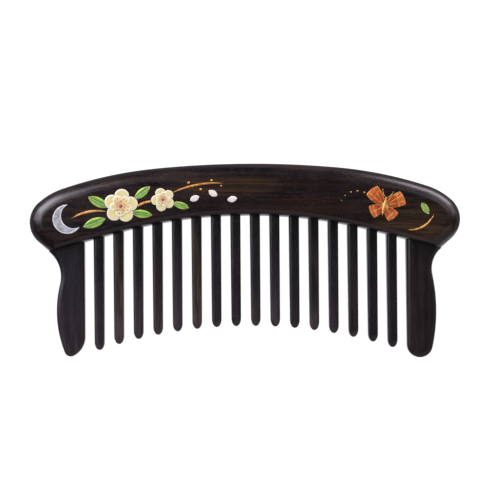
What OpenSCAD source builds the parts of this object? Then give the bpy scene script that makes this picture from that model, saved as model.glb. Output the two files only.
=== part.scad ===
// A wide-tooth comb: an arched wooden back with sixteen narrow teeth and a broad guard tooth at each end.
// It lies on its back face. X runs along the comb, Y towards the crown of the arch, Z up through it.

/* [Comb] */
// Length of the comb from end to end
comb_length = 158; // [150:1:166]
// Thickness of the spine
spine_t = 11; // [10.5:0.1:11.5]
// Radius of the rounding along the spine's lower edge
edge_round = 2.4; // [1.5:0.1:2.4]

/* [Teeth] */
// Width of a narrow tooth at its root
tooth_w = 3.8; // [3:0.1:4]
// Width of a narrow tooth where its tip begins to round
tooth_w_tip = 3.55; // [2.6:0.05:3.7]
// Depth of the teeth at their roots, from front to back
tooth_d = 6; // [5:0.1:6]
// Depth of the teeth at their tips
tooth_d_tip = 3.5; // [2.6:0.1:4]
// Height of the rounded tip of a narrow tooth
tooth_tip_h = 3; // [2:0.1:4]
// Radius on the long edges of the narrow teeth
tooth_corner = 1.1; // [0.6:0.1:1.3]
// Radius on the edges of the guard teeth
guard_corner = 1.7; // [0.8:0.1:1.7]

/* [Joints] */
// Diameter of the round tenon on a narrow tooth
tenon_d = 2.4; // [2:0.1:2.6]
// Diameter of the two round tenons on a guard tooth
guard_tenon_d = 3; // [2.4:0.1:3.6]
// Length of the tenons
tenon_length = 6; // [4:0.5:8]
// Clearance round a tenon and between a tooth and the spine
fit_gap = 0.1; // [0.05:0.01:0.15]

/* [Inlays] */
// Height that the inlays stand above the front face
inlay_t = 0.25; // [0.15:0.05:0.4]
// Gap between neighbouring inlays
inlay_gap = 0.15; // [0.1:0.05:0.3]

/* [Hidden] */
$fn = 48;
tooth_count = 16;
mid_z = spine_t / 2;
nose_r = spine_t / 2;

// Every outline below is drawn for this length and scaled in plan to the wanted one
drawn_length = 157.7;
plan = comb_length / drawn_length;
crown_y = 35.8 * plan;
edge_mid_y = 16.85 * plan;
pitch = 7.13 * plan;

// Columns of the arc tables: radius, turn in degrees (left is positive), steps of the faceted run
RADIUS = 0;
TURN = 1;
STEPS = 2;

// Half of the spine's outer outline, from the crown along the back and round the end
back_arcs = [
    [355 * plan, -5.4, 8],
    [150 * plan, -13.1, 9],
    [25 * plan, -23.4, 5],
    [9.6 * plan, -97.6, 12]
];

// Half of the spine's lower edge, from the middle to its corner at the end
edge_arcs = [
    [183.5 * plan, -14.6],
    [1274 * plan, -2.6]
];
edge_corner_x = 71.4 * plan;
edge_steps = 16;
tail_steps = 2;

// Outer and inner sides of each guard tooth, from the spine to the tip and from the tip back up
guard_top_x = 71.6 * plan;
guard_heading = -140;
right_outer = [
    [9.8 * plan, 61.6, 8],
    [63.2 * plan, -24.3, 7],
    [4.7 * plan, -77.3, 6]
];
right_inner = [
    [4.7 * plan, -90, 6]
];
left_outer = [
    [11.7 * plan, 64.1, 8],
    [41 * plan, -35.4, 7],
    [2.4 * plan, -68.7, 6]
];
left_inner = [
    [2.4 * plan, -28.3, 2],
    [7.8 * plan, -61.7, 5]
];
guard_tip_round = 2.2;
guard_tenons = [62.3 * plan, 67.2 * plan];

// The tips of the narrow teeth lie on one arc
tip_mid_y = -23.7 * plan;
tip_arc_r = 177.6 * plan;
tip_sections = 6;

// Corner angles of a rounded section, and the points on each corner
corner_steps = [0, 45, 90];

// Angles up the full-round edge of the spine, from the middle of its thickness to a face
nose_angles = [0, 15, 30, 42, 54, 66, 78, 90];
socket_lead = 2;

// Teeth cut from browner wood than the rest
brown_teeth = [2, 6];
half_brown_teeth = [4, 12, 14];
dark_wood = "#2a2326";
half_brown_wood = "#33292a";
brown_wood = "#40352e";

// Columns of the leaf table: centre, angle, length, width
LEAF_X = 0;
LEAF_Y = 1;
LEAF_ANGLE = 2;
LEAF_LENGTH = 3;
LEAF_WIDTH = 4;
leaves = [
    [-54.6, 14.3, 200, 8.6, 3.4],
    [-53.2, 21.8, 152, 8.2, 3.3],
    [-37.4, 17.4, -8, 7.6, 2.9],
    [-37.3, 25.0, 38, 7.4, 2.9],
    [-23.2, 20.3, -18, 6.2, 2.5],
    [65.4, 18.4, 122, 5, 2.2]
];

// Columns of the blossom table: centre, radius over the petals, turn
BLOSSOM_X = 0;
BLOSSOM_Y = 1;
BLOSSOM_R = 2;
BLOSSOM_ANGLE = 3;
blossoms = [
    [-45, 20.3, 6.2, 12],
    [-29.7, 22.5, 4.3, 40]
];
petals = 5;
petal_share = 0.43;

// Columns of the line table: start, end, bulge of the inner side, thickness at the middle
LINE_FROM = 0;
LINE_TO = 1;
LINE_BULGE = 2;
LINE_THICK = 3;
lines = [
    [[-63.2, 15.7], [-49.8, 18.2], 0.9, 0.9],
    [[-41, 18.6], [-31, 21.8], 0.8, 0.9],
    [[-27.4, 24.4], [-7.4, 28.2], 1, 0.8],
    [[68.6, 16.4], [58.6, 10.8], 1.6, 0.8]
];

moon_at = [-64.4, 15.7];
moon_r = 5.3;
moon_cut_r = 4.6;
moon_cut_at = [2.3, 1.2];

// Columns of the table of loose petals: centre, angle
PETAL_X = 0;
PETAL_Y = 1;
PETAL_ANGLE = 2;
loose_petals = [
    [-18.2, 22.8, 24],
    [-11.6, 24.6, -32],
    [-4.6, 22.4, 12]
];
loose_petal_size = [3.6, 2.2];

butterfly_at = [50.6, 19.4];
butterfly_angle = -14;
butterfly_body = [7.4, 1.3];

// Columns of the wing table: length and width of a pointed oval, reach of the circle that ends it, tilt
WING_OVAL = 0;
WING_REACH = 1;
WING_TILT = 2;
wings = [
    [[13, 5.2], 7.8, 38],
    [[9.6, 4.6], 5.6, -38]
];

leaf_names = [for (i = [1:len(leaves)]) str("leaf_inlay_", i)];
blossom_names = ["blossom_inlay_large", "blossom_inlay_small"];
line_names = ["twig_inlay", "branch_inlay", "spray_inlay", "tendril_inlay"];
petal_names = [for (i = [1:len(loose_petals)]) str("petal_inlay_", i)];

function tooth_name(i) = str("tooth_", i < 10 ? "0" : "", i);

// The place and heading after one arc
function arc_end(s, radius, turn) =
    let (
        side = sign(turn) * radius,
        heading = s.z + turn
    )
    [s.x + side * (sin(heading) - sin(s.z)), s.y - side * (cos(heading) - cos(s.z)), heading];

// The place and heading where row i of an arc table begins
function arc_start(arcs, i, s) =
    i == 0
    ? s
    : let (before = arc_start(arcs, i - 1, s))
    arc_end(before, arcs[i - 1][RADIUS], arcs[i - 1][TURN]);

// The points of a faceted run through an arc table, without its first
function arc_points(arcs, s) = [
    for (i = [0:len(arcs) - 1])
        for (step = [1:arcs[i][STEPS]])
            arc_end(arc_start(arcs, i, s), arcs[i][RADIUS], arcs[i][TURN] * step / arcs[i][STEPS])
];

function mix(a, b, t) = a + (b - a) * t;

// Height of the spine's lower edge at a place along the comb, moved up by an inset
edge_centre = [0, edge_mid_y - edge_arcs[0][RADIUS]];
edge_turn = -edge_arcs[0][TURN];
edge_far_centre = edge_centre
    - (edge_arcs[1][RADIUS] - edge_arcs[0][RADIUS]) * [sin(edge_turn), cos(edge_turn)];
function circle_y(centre, radius, x) = centre.y + sqrt(pow(radius, 2) - pow(x - centre.x, 2));
function edge_y(x, inset = 0) =
    abs(x) < (edge_arcs[0][RADIUS] + inset) * sin(edge_turn)
    ? circle_y(edge_centre, edge_arcs[0][RADIUS] + inset, abs(x))
    : circle_y(edge_far_centre, edge_arcs[1][RADIUS] + inset, abs(x));

function tooth_x(i) = (i - (tooth_count + 1) / 2) * pitch;
function tip_y(x) = tip_mid_y - tip_arc_r + sqrt(pow(tip_arc_r, 2) - pow(x, 2));

// One rounded section between two points of a plan, as a ring of points
function section(from, to, depth, corner) =
    let (
        width = norm(to - from),
        along = (to - from) / width,
        middle = (from + to) / 2,
        r = min(corner, width * 0.48, depth * 0.48)
    )
    [
        for (q = [[1, 1, 0], [-1, 1, 90], [-1, -1, 180], [1, -1, 270]])
            for (a = corner_steps)
                let (s = q.x * (width / 2 - r) + r * cos(q.z + a))
                [
                    middle.x + along.x * s,
                    middle.y + along.y * s,
                    mid_z + q.y * (depth / 2 - r) + r * sin(q.z + a)
                ]
    ];

// A tooth lofted through rounded sections from its root to the point of its tip
module lofted_tooth(left, right, depths, corner, tip) {
    rows = len(left);
    n = 4 * len(corner_steps);
    points = concat(
        [for (k = [0:rows - 1]) each section(left[k], right[k], depths[k], corner)],
        [[tip.x, tip.y, mid_z]]
    );
    sides = [
        for (k = [0:rows - 2])
            for (i = [0:n - 1])
                let (j = (i + 1) % n)
                [(k + 1) * n + i, (k + 1) * n + j, k * n + j, k * n + i]
    ];
    end = [for (i = [0:n - 1]) [rows * n, (rows - 1) * n + (i + 1) % n, (rows - 1) * n + i]];
    root = [[for (i = [0:n - 1]) i]];
    polyhedron(points = points, faces = concat(root, sides, end), convexity = 4);
}

// A rod that stands out of a tooth's root into the spine, and the socket that takes it
module tenon(x, d, lead, reach) {
    translate([x, edge_y(x) - lead, mid_z])
        rotate([-90, 0, 0])
            cylinder(d = d, h = lead + reach);
}

module socket(x, d) {
    tenon(x, d + 2 * fit_gap, socket_lead, tenon_length + 2 * fit_gap);
}

// A point of the outer outline, moved inwards
function inset_point(s, inset) = [s.x + inset * sin(s.z), s.y - inset * cos(s.z)];

// The corner at the end of the lower edge, where the two sides have their own insets
edge_corner = [edge_corner_x, edge_y(edge_corner_x)];
function corner_point(tail_start, back_inset, edge_inset) =
    let (
        tail = edge_corner - tail_start,
        tail_inwards = [tail.y, -tail.x] / norm(tail),
        outwards = edge_corner - edge_far_centre,
        edge_inwards = outwards / norm(outwards),
        det = tail_inwards.x * edge_inwards.y - tail_inwards.y * edge_inwards.x
    )
    edge_corner + [
        back_inset * edge_inwards.y - edge_inset * tail_inwards.y,
        edge_inset * tail_inwards.x - back_inset * edge_inwards.x
    ] / det;

// One level of the spine, as a ring of points clockwise from the crown
function spine_ring(rise) =
    let (
        back_inset = nose_r - sqrt(pow(nose_r, 2) - pow(rise, 2)),
        over = max(0, abs(rise) - (mid_z - edge_round)),
        edge_inset = edge_round - sqrt(pow(edge_round, 2) - pow(over, 2)),
        crown = [0, crown_y, 0],
        back = concat([crown], arc_points(back_arcs, crown)),
        tail_start = back[len(back) - 1],
        shoulder = inset_point(tail_start, back_inset),
        corner = corner_point([tail_start.x, tail_start.y], back_inset, edge_inset),
        right = concat(
            [for (s = back) inset_point(s, back_inset)],
            [for (k = [1:tail_steps - 1]) mix(shoulder, corner, k / tail_steps)],
            [
                for (k = [0:edge_steps])
                    let (x = mix(corner.x, 0, k / edge_steps))
                    [x, edge_y(x, edge_inset)]
            ]
        ),
        left = [for (i = [len(right) - 2:-1:1]) [-right[i].x, right[i].y]]
    )
    [for (p = concat(right, left)) [p.x, p.y, mid_z + rise]];

// The spine before its sockets are drilled
module spine_body() {
    steps = len(nose_angles);
    rises = concat(
        [for (i = [steps - 1:-1:1]) -nose_r * sin(nose_angles[i])],
        [for (a = nose_angles) nose_r * sin(a)]
    );
    rings = [for (rise = rises) spine_ring(rise)];
    n = len(rings[0]);
    sides = [
        for (k = [0:len(rings) - 2])
            for (i = [0:n - 1])
                let (j = (i + 1) % n)
                [k * n + i, k * n + j, (k + 1) * n + j, (k + 1) * n + i]
    ];
    back_face = [[for (i = [n - 1:-1:0]) i]];
    front_face = [[for (i = [0:n - 1]) (len(rings) - 1) * n + i]];
    polyhedron(
        points = [for (ring = rings) each ring],
        faces = concat(back_face, sides, front_face),
        convexity = 4
    );
}

module spine() {
    color(dark_wood)
        difference() {
            spine_body();
            for (i = [1:tooth_count])
                socket(tooth_x(i), tenon_d);
            for (side = [-1, 1])
                for (x = guard_tenons)
                    socket(side * x, guard_tenon_d);
        }
}

// Depth of a tooth, tapered from its root to its tip
function depth_at(y, root_y, end_y) = mix(tooth_d, tooth_d_tip, (root_y - y) / (root_y - end_y));

// A narrow tooth, numbered from the left
module tooth(i) {
    x = tooth_x(i);
    end_y = tip_y(x);
    shoulder_y = end_y + tooth_tip_h;
    angles = [for (k = [0:tip_sections - 1]) 90 * k / tip_sections];
    function side_points(side) = concat(
        [let (root_x = x + side * tooth_w / 2) [root_x, edge_y(root_x) - fit_gap]],
        [for (a = angles) [x + side * tooth_w_tip / 2 * cos(a), shoulder_y - tooth_tip_h * sin(a)]]
    );
    depths = concat(
        [tooth_d],
        [for (a = angles) depth_at(shoulder_y - tooth_tip_h * sin(a), edge_y(x), end_y) * cos(a)]
    );
    tone = len(search(i, brown_teeth)) > 0
        ? brown_wood
        : len(search(i, half_brown_teeth)) > 0 ? half_brown_wood : dark_wood;
    color(tone)
        union() {
            lofted_tooth(side_points(-1), side_points(1), depths, tooth_corner, [x, end_y]);
            tenon(x, tenon_d, socket_lead, tenon_length);
        }
}

// A guard tooth as it stands at the right end
module guard_tooth(outer_arcs, inner_arcs) {
    start = [guard_top_x, edge_y(guard_top_x) - fit_gap, guard_heading];
    outer = concat([start], arc_points(outer_arcs, start));
    sections = len(outer) - 1;
    tip = outer[sections];
    curved = concat([tip], arc_points(inner_arcs, tip));
    foot = curved[len(curved) - 1];
    top = [foot.x, edge_y(foot.x) - fit_gap];
    straight_steps = sections - len(curved) + 1;
    straight = [for (k = [1:straight_steps]) mix([foot.x, foot.y], top, k / straight_steps)];
    inner = concat([for (p = curved) [p.x, p.y]], straight);
    rows = [0:sections - 1];
    left = [for (k = rows) inner[sections - k]];
    right = [for (k = rows) [outer[k].x, outer[k].y]];
    depths = [
        for (k = rows)
            let (
                y = (left[k].y + right[k].y) / 2,
                rise = min(1, (y - tip.y) / guard_tip_round)
            )
            depth_at(y, start.y, tip.y) * sqrt(1 - pow(1 - rise, 2))
    ];
    union() {
        lofted_tooth(left, right, depths, guard_corner, tip);
        for (x = guard_tenons)
            tenon(x, guard_tenon_d, socket_lead, tenon_length);
    }
}

module guard_tooth_left() {
    color(dark_wood)
        mirror([1, 0, 0])
            guard_tooth(left_outer, left_inner);
}

module guard_tooth_right() {
    color(dark_wood)
        guard_tooth(right_outer, right_inner);
}

// A thin plate on the front face, from a flat shape
module plate() {
    translate([0, 0, spine_t])
        linear_extrude(inlay_t)
            children();
}

// A pointed oval along X
module pointed_oval(size) {
    r = (pow(size.x, 2) + pow(size.y, 2)) / (4 * size.y);
    intersection() {
        translate([0, r - size.y / 2])
            circle(r);
        translate([0, size.y / 2 - r])
            circle(r);
    }
}

// Five round petals round a centre, grown by a gap where they cut what lies behind
module petal_ring(row, grow) {
    petal_r = row[BLOSSOM_R] * petal_share;
    translate([row[BLOSSOM_X], row[BLOSSOM_Y]] * plan)
        for (k = [0:petals - 1])
            rotate(row[BLOSSOM_ANGLE] + 360 * k / petals)
                translate([row[BLOSSOM_R] - petal_r, 0])
                    circle(petal_r + grow);
    translate([row[BLOSSOM_X], row[BLOSSOM_Y]] * plan)
        circle(row[BLOSSOM_R] * 0.45);
}

module blossom_inlay(i) {
    color("#d9d3a8")
        plate()
            petal_ring(blossoms[i], 0);
}

module leaf_inlay(i) {
    row = leaves[i];
    color("#6aa24e")
        plate()
            difference() {
                translate([row[LEAF_X], row[LEAF_Y]] * plan)
                    rotate(row[LEAF_ANGLE])
                        pointed_oval([row[LEAF_LENGTH], row[LEAF_WIDTH]]);
                for (blossom = blossoms)
                    petal_ring(blossom, inlay_gap);
            }
}

// A curved line that swells at its middle and runs out to a point at both ends
module swelling_line(from, to, bulge, thick) {
    span = norm(to - from);
    middle = (from + to) / 2;
    function bow_r(rise) = (pow(span, 2) / 4 + pow(rise, 2)) / (2 * rise);
    translate(middle)
        rotate(atan2(to.y - from.y, to.x - from.x))
            difference() {
                translate([0, bulge + thick - bow_r(bulge + thick)])
                    circle(bow_r(bulge + thick), $fn = 240);
                translate([0, bulge - bow_r(bulge)])
                    circle(bow_r(bulge), $fn = 240);
            }
}

module line_inlay(i) {
    row = lines[i];
    color("#b98a45")
        plate()
            difference() {
                swelling_line(row[LINE_FROM] * plan, row[LINE_TO] * plan, row[LINE_BULGE], row[LINE_THICK]);
                for (blossom = blossoms)
                    petal_ring(blossom, inlay_gap);
            }
}

module moon_inlay() {
    color("#a9a9ac")
        plate()
            translate(moon_at * plan)
                difference() {
                    circle(moon_r);
                    translate(moon_cut_at)
                        circle(moon_cut_r);
                }
}

module petal_inlay(i) {
    row = loose_petals[i];
    color("#e4e2da")
        plate()
            translate([row[PETAL_X], row[PETAL_Y]] * plan)
                rotate(row[PETAL_ANGLE])
                    pointed_oval(loose_petal_size);
}

// A wing that runs out from the body, on one side, with a broad round end
module wing(row) {
    rotate(row[WING_TILT])
        intersection() {
            translate([row[WING_OVAL].x / 2, 0])
                pointed_oval(row[WING_OVAL]);
            circle(row[WING_REACH]);
        }
}

module butterfly_inlay() {
    color("#a85a30")
        plate()
            translate(butterfly_at * plan)
                rotate(butterfly_angle) {
                    rotate(90)
                        pointed_oval(butterfly_body);
                    for (side = [0, 1])
                        mirror([side, 0])
                            for (row = wings)
                                wing(row);
                }
}

spine();
guard_tooth_left();
guard_tooth_right();
for (i = [1:tooth_count])
    tooth(i);
for (i = [0:len(blossoms) - 1])
    blossom_inlay(i);
for (i = [0:len(leaves) - 1])
    leaf_inlay(i);
for (i = [0:len(lines) - 1])
    line_inlay(i);
for (i = [0:len(loose_petals) - 1])
    petal_inlay(i);
moon_inlay();
butterfly_inlay();
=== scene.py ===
"""Dresses a wide-tooth comb of dark satin wood, with enamel and metal inlays on its face.

The comb lies on its back. X runs along it, Y towards the crown of its arched spine, Z up through it.
Sizes and places are in millimetres, and become metres where a mesh is made.
"""

import logging
from collections.abc import Callable, Iterator, Sequence
from contextlib import contextmanager
from dataclasses import dataclass
from enum import Enum
from math import acos, asin, atan, atan2, copysign, cos, degrees, pi, radians, sin, sqrt

import bmesh
import bpy
from mathutils import Matrix, Vector


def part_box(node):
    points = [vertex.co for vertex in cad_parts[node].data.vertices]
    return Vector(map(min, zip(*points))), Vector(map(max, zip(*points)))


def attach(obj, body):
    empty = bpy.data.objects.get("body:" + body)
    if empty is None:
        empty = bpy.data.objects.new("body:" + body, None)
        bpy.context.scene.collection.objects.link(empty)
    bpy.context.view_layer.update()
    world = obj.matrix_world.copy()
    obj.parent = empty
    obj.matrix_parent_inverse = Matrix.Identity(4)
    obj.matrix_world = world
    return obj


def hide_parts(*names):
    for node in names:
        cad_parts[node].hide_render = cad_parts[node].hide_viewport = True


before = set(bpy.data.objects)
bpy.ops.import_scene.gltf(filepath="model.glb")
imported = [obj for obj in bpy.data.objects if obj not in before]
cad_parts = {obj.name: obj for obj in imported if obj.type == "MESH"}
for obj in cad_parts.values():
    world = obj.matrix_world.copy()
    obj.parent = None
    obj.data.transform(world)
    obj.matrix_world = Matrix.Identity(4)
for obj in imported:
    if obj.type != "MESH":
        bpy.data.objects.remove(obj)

MM = 0.001
BODY = "root"
PLAN_MAP = "plan"
# Metres within which two places count as one.
SAME_PLACE = 2e-6
# Metres within which the points that crossing cuts leave are merged.
NEAR_PLACE = 1e-4
# How far along an axis the normal of a face goes that looks that way.
FACING = 0.9
# Edges round a circle that is seen large.
ROUND_SIDES = 72
# Degrees from which an edge is shaded sharp.
SHARP_TURN = 35.0
# Watts for each square metre of a flat light, for each unit of its radiance.
LIGHT_POWER = 4.0

Colour = tuple[float, float, float]
Piece = bpy.types.Object
Socket = bpy.types.NodeSocket
Sockets = bpy.types.bpy_prop_collection
Node = bpy.types.Node
Span = tuple[float, float]
Profile = tuple[Span, ...]
Spot = tuple[float, float, float]
Marks = tuple[Spot, ...]
Feed = Socket | float | Sequence[float]
Item = bmesh.types.BMVert | bmesh.types.BMEdge | bmesh.types.BMFace

log = logging.getLogger("comb")
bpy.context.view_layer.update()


class Slot(Enum):
    """The finishes that the record names."""

    SPINE = "spine_wood"
    DARK_TOOTH = "dark_tooth_wood"
    HALF_BROWN_TOOTH = "half_brown_tooth_wood"
    BROWN_TOOTH = "brown_tooth_wood"
    CREAM = "cream_enamel"
    WHITE = "white_enamel"
    GREEN = "green_enamel"
    COPPER = "copper_enamel"
    SILVER = "silver_enamel"
    GOLD = "gold_line"


BROWNER_TEETH = {
    2: Slot.BROWN_TOOTH, 4: Slot.HALF_BROWN_TOOTH, 6: Slot.BROWN_TOOTH,
    12: Slot.HALF_BROWN_TOOTH, 14: Slot.HALF_BROWN_TOOTH,
}


class Pick(Enum):
    """What a selection in edit mode is made of."""

    POINTS = "VERT"
    EDGES = "EDGE"
    FACES = "FACE"


def paint(*channels: int) -> Colour:
    """Turns a colour as a screen shows it into linear light.

    Args:
        *channels: Red, green and blue, from 0 to 255.

    Returns:
        The three values in linear light, from 0 to 1.
    """
    shares = [channel / 255 for channel in channels]
    return tuple(s / 12.92 if s <= 0.04045 else ((s + 0.055) / 1.055) ** 2.4 for s in shares)


# Modelling helpers


def deselect() -> None:
    """Deselects every piece, so that the next operator acts on what it is meant for."""
    bpy.ops.object.select_all(action="DESELECT")


def activate(piece: Piece) -> None:
    """Selects one piece alone and makes it the active one.

    Args:
        piece: The piece.
    """
    deselect()
    piece.select_set(True)
    bpy.context.view_layer.objects.active = piece


@contextmanager
def editing(piece: Piece) -> Iterator[None]:
    """Opens one piece in edit mode with nothing selected, and closes it again.

    Args:
        piece: The mesh to open.

    Returns:
        What a with statement needs to keep the piece open for its lines.
    """
    activate(piece)
    bpy.ops.object.mode_set(mode="EDIT")
    bpy.ops.mesh.select_all(action="DESELECT")
    yield
    bpy.ops.object.mode_set(mode="OBJECT")


def new_piece(name: str) -> Piece:
    """Adds a mesh with nothing in it yet.

    Args:
        name: The piece's name.

    Returns:
        The new piece.
    """
    deselect()
    bpy.ops.object.add(type="MESH")
    piece = bpy.context.object
    piece.name = piece.data.name = name
    return piece


def pick(kind: Pick, test: Callable[[Item], bool]) -> None:
    """Selects what passes a test in the mesh that is open, and nothing else.

    Args:
        kind: Whether points, edges or faces are tested.
        test: Says whether one of them is wanted.
    """
    mesh = bpy.context.object.data
    bpy.ops.mesh.select_mode(type=kind.value)
    bpy.ops.mesh.select_all(action="DESELECT")
    shape = bmesh.from_edit_mesh(mesh)
    items = {Pick.POINTS: shape.verts, Pick.EDGES: shape.edges, Pick.FACES: shape.faces}[kind]
    for item in [each for each in items if test(each)]:
        item.select_set(True)
    shape.select_flush_mode()
    bmesh.update_edit_mesh(mesh)


def take_all() -> None:
    """Selects the whole mesh that is open."""
    bpy.ops.mesh.select_all(action="SELECT")


def at_heights(item: Item, heights: Sequence[float]) -> bool:
    """Says whether all points of an edge or face lie at one of some heights, in millimetres."""
    return all(min(abs(p.co.z - h * MM) for h in heights) < SAME_PLACE for p in item.verts)


def bridge_levels(levels: Sequence[float]) -> None:
    """Joins the flat runs of edges at each two neighbouring heights by a band of faces.

    Args:
        levels: The heights, in order.
    """
    for low, high in zip(levels, levels[1:]):
        pick(Pick.EDGES, lambda edge: at_heights(edge, (low, high)))
        bpy.ops.mesh.bridge_edge_loops()


def lift(height: float) -> None:
    """Raises the whole mesh that is open by a height in millimetres."""
    take_all()
    bpy.ops.transform.translate(value=(0.0, 0.0, height * MM))


def draw_out(x: float = 0.0, y: float = 0.0, z: float = 0.0) -> None:
    """Extrudes what is selected in the mesh that is open, by a move in millimetres."""
    bpy.ops.mesh.extrude_region_move(TRANSFORM_OT_translate={"value": (x * MM, y * MM, z * MM)})


def round_off(away: Sequence[float], middle: Sequence[float], steps: int) -> None:
    """Draws the face that is selected in the open mesh out to a rounded point.

    Args:
        away: The way from the face to the point, along one axis.
        middle: A place in metres on the line that the face narrows towards.
        steps: The steps from the face to the point.
    """
    for step in range(1, steps + 1):
        before, now = (pi / 2 * s / steps for s in (step - 1, step))
        gone = sin(now) - sin(before)
        draw_out(*(part * gone for part in away))
        if step < steps:
            share = cos(now) / cos(before)
            narrower = [1.0 if part else share for part in away]
            bpy.ops.transform.resize(value=narrower, center_override=middle)
    bpy.ops.mesh.merge(type="CENTER")


def weld(within: float = SAME_PLACE) -> None:
    """Merges the points of the mesh that is open where they lie within a distance in metres."""
    take_all()
    bpy.ops.mesh.remove_doubles(threshold=within)


def tidy_normals() -> None:
    """Merges doubles in the mesh that is open and turns its faces outwards."""
    weld()
    bpy.ops.mesh.normals_make_consistent(inside=False)


def apply_modifier(piece: Piece, kind: str, **settings: object) -> None:
    """Puts a modifier on a piece and applies it.

    Args:
        piece: The mesh to change.
        kind: Blender's name of the modifier.
        **settings: The modifier's own settings.
    """
    bpy.context.view_layer.objects.active = piece
    modifier = piece.modifiers.new(kind, kind)
    for name, value in settings.items():
        setattr(modifier, name, value)
    bpy.ops.object.modifier_apply(modifier=modifier.name)


def mirror_half(piece: Piece, axes: tuple[bool, bool, bool]) -> None:
    """Adds the other half of a piece, along each axis that is asked for."""
    welded = {"use_mirror_merge": True, "merge_threshold": SAME_PLACE}
    apply_modifier(piece, "MIRROR", use_axis=axes, **welded)


def copy_piece(piece: Piece, name: str) -> Piece:
    """Copies a piece together with its mesh.

    Args:
        piece: The piece to copy.
        name: The copy's name.

    Returns:
        The copy.
    """
    activate(piece)
    bpy.ops.object.duplicate(linked=False)
    twin = bpy.context.object
    twin.name = twin.data.name = name
    return twin


def turn_over(piece: Piece, way: Spot) -> None:
    """Mirrors a piece through the origin's planes.

    Args:
        piece: The piece.
        way: 1 for each axis that stays, and -1 for each that is mirrored.
    """
    with editing(piece):
        take_all()
        bpy.ops.transform.resize(value=way, center_override=(0.0, 0.0, 0.0))
        bpy.ops.mesh.normals_make_consistent(inside=False)


def join_pieces(pieces: Sequence[Piece], name: str) -> Piece:
    """Makes one piece of several.

    Args:
        pieces: The pieces to join.
        name: The name of what they become.

    Returns:
        The joined piece.
    """
    deselect()
    for piece in pieces:
        piece.select_set(True)
    bpy.context.view_layer.objects.active = pieces[0]
    bpy.ops.object.join()
    joined = bpy.context.object
    joined.name = joined.data.name = name
    return joined


@dataclass(frozen=True)
class Place:
    """Where a flat piece lies on the comb's face: its middle in millimetres and its turn in degrees."""

    x: float
    y: float
    turn: float = 0.0

    def matrix(self) -> Matrix:
        """Gives the move from a piece drawn round the origin to its place."""
        move = Matrix.Translation((self.x * MM, self.y * MM, 0.0))
        return move @ Matrix.Rotation(radians(self.turn), 4, "Z")

    def put(self, piece: Piece) -> None:
        """Moves a piece that was drawn round the origin to its place, within its mesh.

        Args:
            piece: The piece.
        """
        activate(piece)
        piece.matrix_world = self.matrix()
        bpy.ops.object.transform_apply()

    def map_plan(self, piece: Piece, length: float, width: float) -> None:
        """Lays a UV map from 0 to 1 over a placed piece's own length and width.

        Args:
            piece: The piece, already in its place.
            length: Its length.
            width: Its width.
        """
        back = self.matrix().inverted()
        layer = piece.data.uv_layers.new(name=PLAN_MAP)
        for loop in piece.data.loops:
            own = back @ piece.data.vertices[loop.vertex_index].co
            layer.data[loop.index].uv = (own.x / (length * MM) + 0.5, own.y / (width * MM) + 0.5)


@dataclass(frozen=True)
class Arc:
    """One arc of an outline: its radius, its turn to the left in degrees, and its steps."""

    radius: float
    turn: float
    steps: int

    def sized(self, scale: float, finer: int = 1) -> "Arc":
        """Gives the same arc at another scale and with its steps made finer."""
        return Arc(self.radius * scale, self.turn, self.steps * finer)


class Pen:
    """Draws a flat run of edges in the mesh that is open, by lines and by spun arcs.

    The run lies an inset to the right of the path that the pen is told to follow.
    """

    def __init__(
        self, at: Sequence[float], heading: float, height: float = 0.0, inset: float = 0.0
    ) -> None:
        """Sets the pen down on a first point.

        Args:
            at: Where the path starts.
            heading: Its direction in degrees from X.
            height: The height that the run lies at.
            inset: How far to the right of the path it is drawn.
        """
        self.path = Vector(at)
        self.heading = heading
        self.height = height
        self.inset = inset
        bpy.ops.mesh.select_mode(type=Pick.POINTS.value)
        bpy.ops.mesh.select_all(action="DESELECT")
        bpy.ops.mesh.primitive_circle_add(vertices=3, radius=MM, location=self.in_metres(self.point()))
        bpy.ops.mesh.merge(type="CENTER")

    def in_metres(self, point: Vector) -> Spot:
        """Gives a point of the drawing in metres."""
        return (point.x * MM, point.y * MM, self.height * MM)

    def point(self) -> Vector:
        """Gives the place that the drawn run has got to, in millimetres."""
        turn = radians(self.heading)
        return self.path + self.inset * Vector((sin(turn), -cos(turn)))

    def about(self, centre: Vector, turn: float, steps: int) -> None:
        """Draws an arc about a centre.

        Args:
            centre: The centre.
            turn: The angle to go through in degrees, to the left if above 0.
            steps: The edges that it is drawn with.
        """
        bpy.ops.mesh.spin(
            steps=steps,
            angle=-radians(turn),
            center=self.in_metres(centre),
            axis=(0.0, 0.0, 1.0),
        )
        self.path = centre + Matrix.Rotation(radians(turn), 2) @ (self.path - centre)
        self.heading += turn

    def arc(self, arc: Arc) -> None:
        """Draws an arc that carries on in the path's direction.

        Args:
            arc: The arc, which bends to the left where its turn is above 0.
        """
        turn = radians(self.heading)
        side = copysign(arc.radius, arc.turn)
        centre = self.path + side * Vector((-sin(turn), cos(turn)))
        self.about(centre, arc.turn, arc.steps)

    def line_to(self, point: Sequence[float], steps: int = 1) -> None:
        """Draws straight to a place of the drawn run, in equal steps.

        Args:
            point: Where the run goes.
            steps: The edges that it is drawn with.
        """
        step = (Vector(point) - self.point()) / steps
        for _ in range(steps):
            bpy.ops.mesh.extrude_vertices_move(
                TRANSFORM_OT_translate={"value": (step.x * MM, step.y * MM, 0.0)}
            )
        self.path += step * steps


# The wooden pieces


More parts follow.
